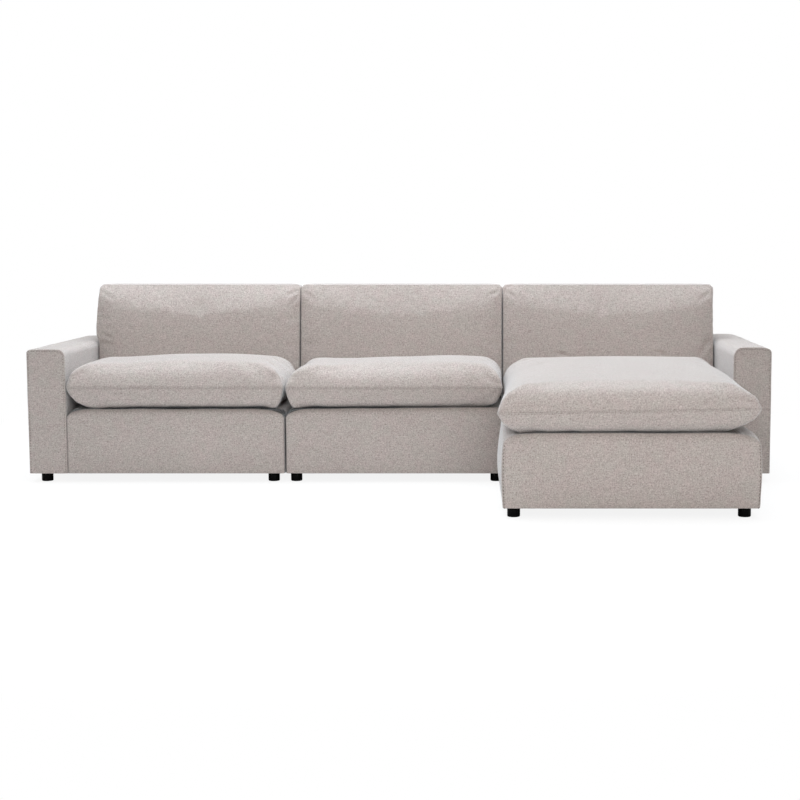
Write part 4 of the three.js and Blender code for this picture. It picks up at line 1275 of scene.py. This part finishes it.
def shape_back(points, left, right):
    """Points of a box whose x is the back's depth, y its width and z its height."""
    low = np.array([back_front, left, base_bottom])
    high = np.array([back_rear, right, back_top])
    out = round_faces(points, low, high, back_side_radius)
    flat = out[:, [0, 2]]
    for way, end in ((-1.0, back_front), (1.0, back_rear)):
        flat = round_corner(flat, np.array([end, back_top]), np.array([way, 1.0]),
                            back_edge_radius)
    deep, up = flat.T
    lean = back_front + np.clip(up - base_top, 0, None) * back_slope
    share = (deep - back_front) / (back_rear - back_front)
    deep = lean + share * (back_rear - lean)
    across = np.clip((out[:, 1] - left) / (right - left), 0, 1)
    rise = np.clip((up - base_bottom) / (back_top - base_bottom), 0, 1)
    plump = np.sin(math.pi * across) ** 0.5 * np.sin(math.pi * rise) ** 0.7
    deep = deep + np.where(share > 0.98, back_swell * plump, 0)
    wide = out[:, 1].copy()
    full = np.sin(math.pi * np.clip(share, 0, 1)) ** 0.4 * np.clip((back_top - up) / 0.02, 0, 1)
    wide -= np.where(across < 0.002, back_side_swell * full, 0)
    wide += np.where(across > 0.998, back_side_swell * full, 0)
    return np.stack([wide, deep, up], 1)


for name in ("left", "centre", "chaise"):
    low, high = corners_of(f"{name}_back_cover")
    ds = spaced(back_front, back_rear, back_edge_radius, 0.03)
    ws = spaced(low[0], high[0], back_side_radius, 0.03)
    zs = np.concatenate([
        base_bottom + np.array([0, 0.0015]), np.linspace(base_bottom + 0.012, 0.715, 27),
        back_top - back_edge_radius * np.array([0.9, 0.75, 0.6, 0.45, 0.3, 0.15, 0]),
    ])
    points, faces = box_surface(ds, ws, zs, open_below=True)
    shaped = shape_back(points, low[0], high[0])
    cover = new_object(f"{name}_back_upholstery", shaped, faces[:, ::-1])
    free = np.clip((shaped[:, 1] - 0.75) / 0.1, 0, 1) * np.clip((shaped[:, 2] - 0.06) / 0.05, 0, 1)
    push_out(cover, shaped, ripple(shaped, 0.0008, 31) * free)
    thicken(cover, back_wall, -1)

    def back_line(share, inset):
        """A line up one side, along the top and down the other, at that share of the depth."""
        line = hoop(low[0], high[0], inset, base_bottom + 0.004, back_top, back_ups, back_flats)
        deep = np.full(len(line), back_front + share * (back_rear - back_front))
        return shape_back(np.column_stack([deep, line]), low[0], high[0])

    edge = back_line(1.0, 0.0)
    front_edge = back_line(0.0, 0.0)[back_ups:-back_ups]
    # Painted shade along the seams.
    write_painted_shade(cover, near_lines(shaped, [edge, front_edge], 0.006))
    lay_cloth(smooth(cover, 60)).data.materials.append(oatmeal)
    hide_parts(f"{name}_back_cover")
    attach(cover, f"{name}_unit")
    welt = lay_cloth(grow(f"{name}_back_panel_seams", [edge, front_edge], seam_tree,
                          radius=0.0015, step=0.008, material=oatmeal))
    row = grow(f"{name}_back_panel_stitches", [back_line(1.0, 0.012) + (0, 0.0004, 0)],
               stitch_tree, pitch=0.0085, length=0.006, thickness=0.0012, material=thread)
    for piece in (welt, row):
        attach(piece, f"{name}_unit")


# Seat cushions
# Knife-edged cushions in the same cloth: a crowned top panel and a flatter underside sewn
# together round the middle, filled with a foam slab in fibre wrap. The chaise has one long one,
# which sways out in front of the seat beside it. A zip is sewn into the rear seam.

seat_seam_height = 0.4023
rolls_level = 0.0035
seat_rise = 0.118
seat_drop = 0.096
seat_widest_turn = 0.120
seat_upper_front = 0.066
seat_lower_front = 0.074
seat_fullness = 2.4
seat_corner = 0.027
seat_ear = 0.018
seat_ear_share = 0.5
seat_seam_stand = 0.002
seat_crown_share = 0.28
seat_draw_in = 0.005
chaise_sway = 0.030
chaise_seam_tilt = 0.010
chaise_seam_drop = 0.004
front_lift_reach = 0.13
front_lift_ramp = 0.08
# Painted shade low on the underside's front, over the crevice on the base.
crevice_height = -0.084
crevice_fade = 0.007
crevice_reach = 0.10
edge_steps = 10
unfilled_height = 0.975
filling_steps = 20
least_travel = 0.003
more_travel = 0.007
full_travel_height = 0.05
fold_reach = 0.025
fold_ridge = 0.45
zip_margin = 0.14
wrap_thickness = 0.014
core_short = (0.078, 0.068)
core_edge_steps = 5
core_pitch = 0.05

foam, tree, shader, at = new_material("cream foam", {"Specular IOR Level": 0.2})
cells = node(tree, "ShaderNodeTexVoronoi", {"Vector": at, "Scale": 900.0}).outputs["Distance"]
age = span(tree, noise(tree, at, 6.0, 3.0), 0.35, 0.7)
link(tree, shader.inputs["Base Color"], blend_colour(
    tree, age, (0.80, 0.74, 0.56, 1), (0.72, 0.63, 0.42, 1)))
link(tree, shader.inputs["Roughness"], span(tree, cells, 0.0, 0.6, 0.98, 0.85))
emboss(tree, shader, cells, 0.6, 0.0006)


def cushion_places(length, rounding, steps, pitch):
    """Places across a cushion, evenly spread over its rounded edges and its flat middle."""
    turn = np.linspace(0, math.pi / 2, steps + 1)
    near = rounding * (1 - np.cos(turn))
    count = max(2, round((length - 2 * rounding) / pitch))
    middle = np.linspace(rounding, length - rounding, count + 1)[1:-1]
    return np.concatenate([near, middle, length - near[::-1]])


def knife_edge(width, depth, rise, drop, steps, pitch, upper_ends, lower_ends, round_corners):
    """Points and faces of a cushion round its own middle, and the numbers of its seam points.
    upper_ends and lower_ends say how far each panel takes to turn over at the left and right.
    The corners named by (side, end) signs are rounded in plan, and the others end in ears."""
    across = cushion_places(width, seat_widest_turn, steps, pitch)
    along = cushion_places(depth, seat_widest_turn, steps, pitch)
    a, b = np.meshgrid(across, along, indexing="ij")
    u, v = a / width * 2 - 1, b / depth * 2 - 1
    side, end = np.minimum(a, width - a), np.minimum(b, depth - b)
    eared = np.zeros(a.shape)
    x, y = a - width / 2, b - depth / 2
    for right, rear in ((-1, -1), (1, -1), (1, 1), (-1, 1)):
        here = (np.sign(u) == right) & (np.sign(v) == rear)
        rounded = (right, rear) in round_corners
        radius = seat_corner if rounded else seat_ear
        eared = np.where(here, 0.0 if rounded else seat_ear_share, eared)
        away = np.stack([np.clip(radius - side, 0, None), np.clip(radius - end, 0, None)])
        length = np.hypot(*away)
        share = np.where(here & (away > 0).all(0), away.max(0) / np.maximum(length, 1e-9), 1)
        x = np.where(here, right * (width / 2 - radius + away[0] * share - np.clip(
            side - radius, 0, None)), x)
        y = np.where(here, rear * (depth / 2 - radius + away[1] * share - np.clip(
            end - radius, 0, None)), y)

    def full(ends, front):
        """How far the panel stands off the seam: full at the middle, 0 at the seam."""
        turns = np.where(u < 0, ends[0], ends[1]), front
        one, two = [(1 - np.clip(1 - distance / turn, 0, 1) ** seat_fullness) ** (
            1 / seat_fullness) for distance, turn in zip((side, end), turns)]
        near = (np.maximum(one, 0.02) ** -4 + np.maximum(two, 0.02) ** -4 - 1) ** -0.25
        near = np.where((one > 0) & (two > 0), near, 0)
        return eared * one * two + (1 - eared) * near

    x = x - seat_draw_in * u * (1 - v ** 4)
    y = y - seat_draw_in * v * (1 - u ** 4)
    crown = 1 - seat_crown_share + seat_crown_share * (1 - u ** 2) * (1 - v ** 2)
    on_seam = (side <= 0) | (end <= 0)
    upper = np.arange(a.size).reshape(a.shape)
    lower = upper.copy()
    lower[~on_seam] = a.size + np.arange((~on_seam).sum())
    points = np.concatenate([
        np.stack([x, y, rise * full(upper_ends, seat_upper_front) * crown], -1).reshape(-1, 3),
        np.stack([x, y, -drop * full(lower_ends, seat_lower_front)], -1)[~on_seam],
    ])

    def quads(grid):
        return np.stack([grid[:-1, :-1], grid[1:, :-1], grid[1:, 1:], grid[:-1, 1:]], -1
                        ).reshape(-1, 4)

    faces = np.concatenate([quads(upper), quads(lower)[:, ::-1]])
    seam = np.concatenate([upper[:, 0], upper[-1, 1:], upper[-2::-1, -1], upper[0, -2:0:-1]])
    return points, faces, seam


def inflate(piece, pressure, cap, seam, shrink):
    """Fills a cushion by cloth simulation. The seam stays where it is, and no other point moves
    further than the cap."""
    before = read_points(piece)
    held = piece.vertex_groups.new(name="seam")
    held.add([int(i) for i in seam], 1.0, "REPLACE")
    cloth = piece.modifiers.new("filling", "CLOTH")
    for setting, value in {
        "vertex_group_mass": "seam", "use_pressure": True, "uniform_pressure_force": pressure,
        "quality": 5, "mass": 0.3, "tension_stiffness": 20, "compression_stiffness": 20,
        "shear_stiffness": 8, "bending_stiffness": 0.6, "shrink_min": shrink, "air_damping": 2,
    }.items():
        setattr(cloth.settings, setting, value)
    cloth.settings.effector_weights.gravity = 0
    cloth.point_cache.frame_start = 1
    cloth.point_cache.frame_end = filling_steps
    for step in range(1, filling_steps + 1):
        scene.frame_set(step)
    view = piece.evaluated_get(bpy.context.evaluated_depsgraph_get())
    after = np.empty(len(before) * 3)
    view.data.vertices.foreach_get("co", after)
    piece.modifiers.remove(cloth)
    piece.vertex_groups.remove(held)
    scene.frame_set(1)
    move = after.reshape(-1, 3) - before
    length = np.linalg.norm(move, axis=1)
    move *= (np.minimum(length, cap) / np.maximum(length, 1e-9))[:, None]
    write_points(piece, before + move)


def press_folds(piece, folds):
    """Presses soft folds into a cushion, each a line between the surface points nearest to two
    places, with its depth and width and a slight ridge beside it."""
    points, normals = read_points(piece), read_normals(piece)
    for start, end, depth, width in folds:
        start, end = [points[np.linalg.norm(points - place, axis=1).argmin()]
                      for place in (start, end)]
        along = end - start
        share = np.clip((points - start) @ along / max(along @ along, 1e-9), 0, 1)
        offset = points - start - share[:, None] * along
        off_plane = (offset * normals).sum(1)
        gap = np.linalg.norm(offset - normals * off_plane[:, None], axis=1) / width
        taper = np.sin(math.pi * (0.08 + 0.84 * share)) * (np.abs(off_plane) < fold_reach)
        fold = (np.exp(-gap ** 2) - fold_ridge * np.exp(-(gap - 1.7) ** 2)) * taper
        points = points - normals * (fold * depth)[:, None]
    write_points(piece, points)


def subdivide(piece):
    """One Catmull-Clark subdivision, made part of the mesh."""
    finer = piece.modifiers.new("finer", "SUBSURF")
    finer.levels = finer.render_levels = 1
    view = piece.evaluated_get(bpy.context.evaluated_depsgraph_get())
    mesh = bpy.data.meshes.new_from_object(view)
    piece.modifiers.remove(finer)
    old, piece.data = piece.data, mesh
    bpy.data.meshes.remove(old)


zip_tree, given, put = growing_tree("zip teeth along a line", [
    ("Pitch", "NodeSocketFloat", 0.004), ("Size", "NodeSocketVector", None)])
tooth = node(zip_tree, "GeometryNodeMeshCube", {"Size": (1.0, 1.0, 1.0)}).outputs["Mesh"]
finish_tree(zip_tree, repeat(
    zip_tree, even_steps(zip_tree, given, "Pitch"), tooth, Scale=given["Size"]), given, put)

zip_tape, tree, shader, at = new_material("grey zip tape", {"Specular IOR Level": 0.3})
cords = maths(tree, "ABSOLUTE", maths(tree, "SINE", times(
    tree, node(tree, "ShaderNodeSeparateXYZ", {0: at}).outputs["X"], 3600.0)))
dust = span(tree, noise(tree, at, 60.0, 3.0), 0.4, 0.7)
link(tree, shader.inputs["Base Color"], blend_colour(
    tree, times(tree, cords, dust), (0.20, 0.175, 0.16, 1), (0.32, 0.29, 0.27, 1)))
link(tree, shader.inputs["Roughness"], span(tree, cords, 0.0, 1.0, 0.7, 0.9))
emboss(tree, shader, cords, 0.5, 0.0003)

zip_tape_width = 0.024
zip_tape_thickness = 0.0016
zip_sides = 24
zip_slider = [(0, -0.006), (0.0035, -0.0055), (0.0052, -0.003), (0.0052, 0.003),
              (0.0035, 0.0055), (0, 0.006)]


def sew_zip(name, line, body):
    """A zip along a line at the rear of a cushion: its tape, its teeth and its slider."""
    unit, faces = box_surface(
        np.linspace(0, 1, len(line)), np.array([0.0, 1.0]), np.array([0.0, 0.5, 1.0]))
    share = unit[:, 0] * (len(line) - 1)
    points = np.stack([np.interp(share, np.arange(len(line)), line[:, i]) for i in range(3)], 1)
    points[:, 1] += 0.0006 + (unit[:, 1] - 0.5) * zip_tape_thickness
    points[:, 2] += (unit[:, 2] - 0.5) * zip_tape_width
    tape = new_object(f"{name}_zip_tape", points, faces)
    smooth(tape, 50).data.materials.append(zip_tape)
    teeth = grow(f"{name}_zip_teeth", [line + (0, 0.0016, 0)], zip_tree,
                 pitch=0.0042, size=(0.0024, 0.0022, 0.0052), material=zinc)
    points, faces = revolve(zip_slider, zip_sides, 0, 0)
    points = np.array(points)[:, [2, 1, 0]] * (1.4, 0.5, 1.0) + (line[0] + (0.004, 0.0035, 0))
    slider = new_object(f"{name}_zip_slider", points, [face[::-1] for face in faces])
    smooth(slider, 50).data.materials.append(zinc)
    for piece, finish in ((tape, "oatmeal_weave"), (teeth, "zinc_steel"), (slider, "zinc_steel")):
        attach(piece, body)


seat_cushions = (
    ("left_seat_cushion", -1.4010, -0.4850, 0.012, 0.0, (-0.006, -0.004, 0.004), (0.080, 0.095),
     (0.125, 0.034), (0.018, 0.006), [(-1, -1), (1, -1), (-1, 1), (1, 1)], [
         ((-0.487, -0.040, 0.425), (-0.565, -0.030, 0.475), 0.0040, 0.008),
         ((-0.487, -0.040, 0.390), (-0.555, -0.049, 0.350), 0.0035, 0.008),
         ((-0.486, -0.010, 0.420), (-0.500, 0.075, 0.475), 0.0035, 0.009),
         ((-1.398, -0.030, 0.425), (-1.325, -0.030, 0.470), 0.0022, 0.009),
     ]),
    ("centre_seat_cushion", -0.4820, 0.4345, 0.012, 0.0, (-0.008, -0.017, 0.005), (0.135, 0.070),
     (0.028, 0.050), (0.004, 0.014), [(-1, -1), (-1, 1), (1, 1)], [
         ((-0.480, -0.040, 0.425), (-0.410, -0.030, 0.470), 0.0035, 0.008),
         ((-0.480, -0.040, 0.380), (-0.425, -0.049, 0.345), 0.0035, 0.008),
         ((0.432, -0.045, 0.415), (0.350, -0.035, 0.455), 0.0040, 0.009),
         ((0.430, -0.047, 0.390), (0.365, -0.049, 0.350), 0.0040, 0.008),
         ((0.405, -0.049, 0.385), (0.375, -0.049, 0.325), 0.0028, 0.007),
     ]),
    ("chaise_cushion", 0.4376, 1.4025, 0.014, chaise_sway, (0.0, 0.0, 0.0), (0.095, 0.115),
     (0.070, 0.105), (0.022, 0.028), [(-1, -1), (-1, 1), (1, 1)], [
         ((0.412, -0.900, 0.420), (0.480, -0.890, 0.465), 0.0030, 0.010),
         ((0.412, -0.900, 0.385), (0.470, -0.910, 0.350), 0.0030, 0.010),
         ((1.368, -0.905, 0.415), (1.275, -0.895, 0.455), 0.0040, 0.010),
         ((1.366, -0.908, 0.392), (1.290, -0.911, 0.352), 0.0035, 0.009),
         ((1.366, -0.880, 0.420), (1.345, -0.760, 0.465), 0.0035, 0.011),
     ]),
)
for (name, left, right, pitch, sway, slump, upper_ends, lower_ends, end_lifts, round_corners,
     folds) in seat_cushions:
    low, high = corners_of(f"{name}_cover")
    width = right - left
    depth = high[1] - low[1]
    middle = np.array([(left + right) / 2, (low[1] + high[1]) / 2, seat_seam_height])

    def place(points):
        out = points + middle
        share = np.clip((chaise_left_step - out[:, 1]) / (chaise_left_step - low[1]), 0, 1)
        out[:, 0] -= sway * share * share * (3 - 2 * share)
        return out

    def hold(points):
        """Keeps the cushion on its base and between its neighbours."""
        out = points.copy()
        out[:, 2] = np.maximum(points[:, 2], low[2])
        if not sway:
            out[:, 0] = np.clip(points[:, 0], left, right)
        out[:, 0] = np.minimum(out[:, 0], right)
        return out

    def settle(points):
        """Lowers the top where it has been sat on, and lifts the ends of the underside, and its
        front where the base's front edge rolls higher."""
        across = points[:, 0] / width * 2
        uneven = np.where(across < 0, slump[0], slump[2]) * np.sin(math.pi * np.abs(across)) ** 2
        uneven += slump[1] * np.cos(math.pi / 2 * across) ** 2
        points[:, 2] += uneven * np.clip(points[:, 2] / (seat_rise * 0.7), 0, 1)
        rolls = front_rolls[name.split("_")[0]]
        near_front = np.clip(
            (front_lift_reach - points[:, 1] - depth / 2) / front_lift_ramp, 0, 1)
        lift = np.where(across < 0, *end_lifts) * np.abs(across) ** 5
        lift += (np.interp(across, (-1, 1), rolls) - rolls_level) * near_front
        points[:, 2] += lift * np.clip(-points[:, 2] / seat_drop, 0, 1)

    points, faces, seam = knife_edge(
        width, depth, seat_rise, seat_drop, edge_steps, pitch, upper_ends, lower_ends,
        round_corners)
    settle(points)
    if sway:
        tilt = chaise_seam_tilt * (points[:, 0] / width * 2) - chaise_seam_drop
        points[:, 2] += tilt * (1 - np.abs(points[:, 2]) / seat_rise)
    slim = points * (1, 1, unfilled_height)
    cushion = new_object(f"{name}_upholstery", place(slim), faces)
    # Painted shade: nearly black low on the underside's front, over the crevice, and a line of
    # shade along the seam.
    darker = 2 * np.clip((crevice_height - points[:, 2]) / crevice_fade, 0, 1) * (
        points[:, 1] < crevice_reach - depth / 2)
    darker[seam] = 0.85
    write_painted_shade(cushion, darker)
    cap = least_travel + more_travel * np.clip(
        np.abs(slim[:, 2]) / full_travel_height, 0, 1)
    inflate(cushion, 2.0, cap, seam, -0.01)
    write_points(cushion, hold(read_points(cushion)))
    subdivide(cushion)
    press_folds(cushion, folds)
    level = np.zeros(len(cushion.data.vertices))
    cushion.data.attributes["seam"].data.foreach_get("value", level)
    level *= read_points(cushion)[:, 2] > seat_seam_height - 0.04
    outwards = read_normals(cushion) * (level * seat_seam_stand)[:, None]
    write_points(cushion, hold(read_points(cushion) + outwards))
    shaped = read_points(cushion)
    lay_cloth(smooth(cushion, 80)).data.materials.append(oatmeal)
    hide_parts(f"{name}_cover")
    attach(cushion, name)
    line = shaped[seam]
    welt = lay_cloth(grow(f"{name}_edge_seam", [line], seam_tree, closed=True, radius=0.0009,
                          step=0.007, material=oatmeal))
    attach(welt, name)
    rear = line[line[:, 1] > high[1] - 0.03]
    rear = rear[rear[:, 0].argsort()]
    rear = rear[(rear[:, 0] > left + zip_margin) & (rear[:, 0] < right - zip_margin)]
    sew_zip(name, rear, name)
    points, faces, _ = knife_edge(
        width - core_short[0], depth - core_short[1], seat_rise - wrap_thickness,
        seat_drop - wrap_thickness, core_edge_steps, core_pitch, upper_ends, lower_ends,
        round_corners)
    settle(points)
    core = smooth(new_object(f"{name}_foam", place(points), faces), 60)
    core.data.materials.append(foam)
    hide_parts(f"{name}_core")
    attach(core, name)


# Back cushions
# Boxed cushions with crisp seams round the front and rear panels and a border between them.
# They stand on the deck behind the seat cushions and lean on the backs. The front panels are
# crowned, with a few soft folds by the corners. A zip is sewn across the rear panel, low down.

back_cushion_thickness = 0.202
back_cushion_rear = 0.6962
back_cushion_slack = 0.001
back_cushion_radius = 0.013
back_top_fall = 0.012
back_panel_corner = 0.020
back_cushion_bulge = 0.014
bulge_bottom = 0.568
bulge_top = 0.82
back_cushion_pitch = 0.013
back_core_pitch = 0.06
back_cushion_draw_in = 0.0015
back_zip_height = 0.056


def boxed(width, thickness, height, pitch, crown, top_roll):
    """A boxed cushion round its own middle. Its front panel is crowned and rolls back near the
    top."""
    half = np.array([width, thickness, height]) / 2
    xs = spaced(-half[0], half[0], back_cushion_radius, pitch)
    ys = spaced(-half[1], half[1], back_cushion_radius, pitch * 1.6)
    zs = spaced(-half[2], half[2], back_cushion_radius, pitch)
    points, faces = box_surface(xs, ys, zs)
    inner = np.clip(points, -half + back_cushion_radius, half - back_cushion_radius)
    away = points - inner
    largest = np.abs(away).max(1)
    length = np.linalg.norm(away, axis=1)
    out = inner + away * (largest / np.maximum(length, 1e-9))[:, None]
    for way in ((-1, -1), (-1, 1), (1, -1), (1, 1)):
        out[:, [0, 2]] = round_corner(
            out[:, [0, 2]], half[[0, 2]] * way, np.array(way, float), back_panel_corner)
    u, v = out[:, 0] / half[0], out[:, 2] / half[2]
    out[:, 0] = u * (half[0] - back_cushion_draw_in * (1 - v ** 2))
    rearwards = np.clip((points[:, 1] + half[1] - back_cushion_radius) / thickness, 0, 1)
    out[:, 2] -= back_top_fall * rearwards * np.clip((v - 0.8) / 0.15, 0, 1)
    front = np.clip(-points[:, 1] / half[1], 0, 1) ** 3
    out[:, 1] -= crown * front * (1 - np.abs(u) ** 5) * (1 - np.abs(v) ** 3)
    out[:, 1] += top_roll * front * np.clip((v - 0.68) / 0.32, 0, 1) ** 2
    return out, faces, points


back_cushions = (
    ("left_back_cushion", -1.4015, -0.4834, 0.025, 0.024, [
        ((-0.490, 0.560, 0.800), (-0.550, 0.550, 0.775), 0.0040, 0.009),
        ((-0.487, 0.550, 0.780), (-0.520, 0.540, 0.725), 0.0030, 0.009),
        ((-1.392, 0.560, 0.795), (-1.330, 0.550, 0.755), 0.0030, 0.010),
        ((-1.400, 0.500, 0.600), (-1.340, 0.500, 0.580), 0.0035, 0.009),
    ]),
    ("centre_back_cushion", -0.4829, 0.4366, 0.020, 0.014, [
        ((-0.478, 0.560, 0.795), (-0.425, 0.550, 0.755), 0.0035, 0.009),
        ((0.432, 0.560, 0.795), (0.375, 0.550, 0.765), 0.0035, 0.009),
        ((0.434, 0.550, 0.770), (0.405, 0.540, 0.720), 0.0025, 0.009),
    ]),
    ("chaise_back_cushion", 0.4372, 1.4, 0.018, 0.014, [
        ((0.442, 0.560, 0.795), (0.495, 0.550, 0.760), 0.0035, 0.009),
        ((1.392, 0.560, 0.790), (1.335, 0.550, 0.750), 0.0030, 0.010),
        ((0.680, 0.490, 0.514), (0.735, 0.490, 0.500), 0.0045, 0.009),
        ((1.130, 0.490, 0.515), (1.180, 0.490, 0.500), 0.0045, 0.009),
        ((1.392, 0.490, 0.570), (1.335, 0.490, 0.500), 0.0032, 0.012),
    ]),
)
for name, left, right, crown, top_roll, folds in back_cushions:
    low, high = corners_of(f"{name}_cover")
    width, height, bottom = right - left, high[2] - low[2], low[2]
    thickness, rear = back_cushion_thickness, back_cushion_rear

    def lean(points):
        out = points + ((left + right) / 2, rear - thickness / 2, bottom + height / 2)
        out[:, 1] += (out[:, 2] - bottom) * back_slope
        return out

    def keep(points):
        """Keeps the cushion on its deck, in front of its back and between its neighbours. Above
        the left arm it swells out a little."""
        out = points.copy()
        over_arm = np.clip((points[:, 2] - bulge_bottom) / 0.02, 0, 1) * np.clip(
            (bulge_top - points[:, 2]) / 0.2, 0, 1)
        bulge = back_cushion_bulge * over_arm * (left < -1)
        out[:, 0] = np.clip(points[:, 0], left - bulge, right)
        out[:, 2] = np.clip(points[:, 2], low[2], high[2])
        out[:, 1] = np.minimum(points[:, 1], rear + (out[:, 2] - bottom) * back_slope)
        return out

    points, faces, flat = boxed(
        width, thickness, height - back_cushion_slack, back_cushion_pitch, crown, top_roll)
    if left < -1:
        rise = np.clip((points[:, 2] / height + 0.5 - 0.49) / 0.51, 0, 1) ** 0.55
        points[:, 0] -= back_cushion_bulge * np.sin(math.pi * rise) * np.clip(
            -(flat[:, 0] / width * 2 + 0.9) / 0.1, 0, 1)
    cushion = new_object(f"{name}_upholstery", lean(points), faces)
    edge = (np.abs(np.abs(flat[:, 0]) - width / 2) < 1e-6) | (
        np.abs(np.abs(flat[:, 2]) - (height - back_cushion_slack) / 2) < 1e-6)
    panel = np.abs(np.abs(flat[:, 1]) - thickness / 2) < 1e-6
    seam = np.nonzero(edge & panel)[0]
    # Painted shade along the panel seams, faint on the front panel.
    write_painted_shade(cushion, (edge & panel) * np.where(flat[:, 1] < 0, 0.2, 1.0))
    inflate(cushion, 1.2, 0.008, seam, -0.006)
    write_points(cushion, keep(read_points(cushion)))
    subdivide(cushion)
    press_folds(cushion, folds)
    write_points(cushion, keep(read_points(cushion)))
    lay_cloth(smooth(cushion, 80)).data.materials.append(oatmeal)
    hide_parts(f"{name}_cover")
    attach(cushion, name)
    shaped = read_points(cushion)
    lines = []
    for sign in (-1, 1):
        ring = seam[flat[seam, 1] * sign > 0]
        turn = np.arctan2(flat[ring, 2] / height, flat[ring, 0] / width)
        lines.append(shaped[ring[turn.argsort()]])
    welt = lay_cloth(grow(f"{name}_panel_seams", lines, seam_tree, closed=True, radius=0.0007,
                          step=0.007, material=oatmeal))
    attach(welt, name)
    up = np.full(40, bottom + back_zip_height)
    sew_zip(name, np.column_stack([
        np.linspace(left + zip_margin, right - zip_margin, 40),
        rear + (up - bottom) * back_slope - 0.0012, up]), name)
    points, faces, _ = boxed(
        width - 4 * wrap_thickness, thickness - 2 * wrap_thickness, height - 2 * wrap_thickness,
        back_core_pitch, crown, top_roll)
    core = smooth(new_object(f"{name}_foam", lean(points), faces), 60)
    core.data.materials.append(foam)
    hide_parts(f"{name}_core")
    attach(core, name)
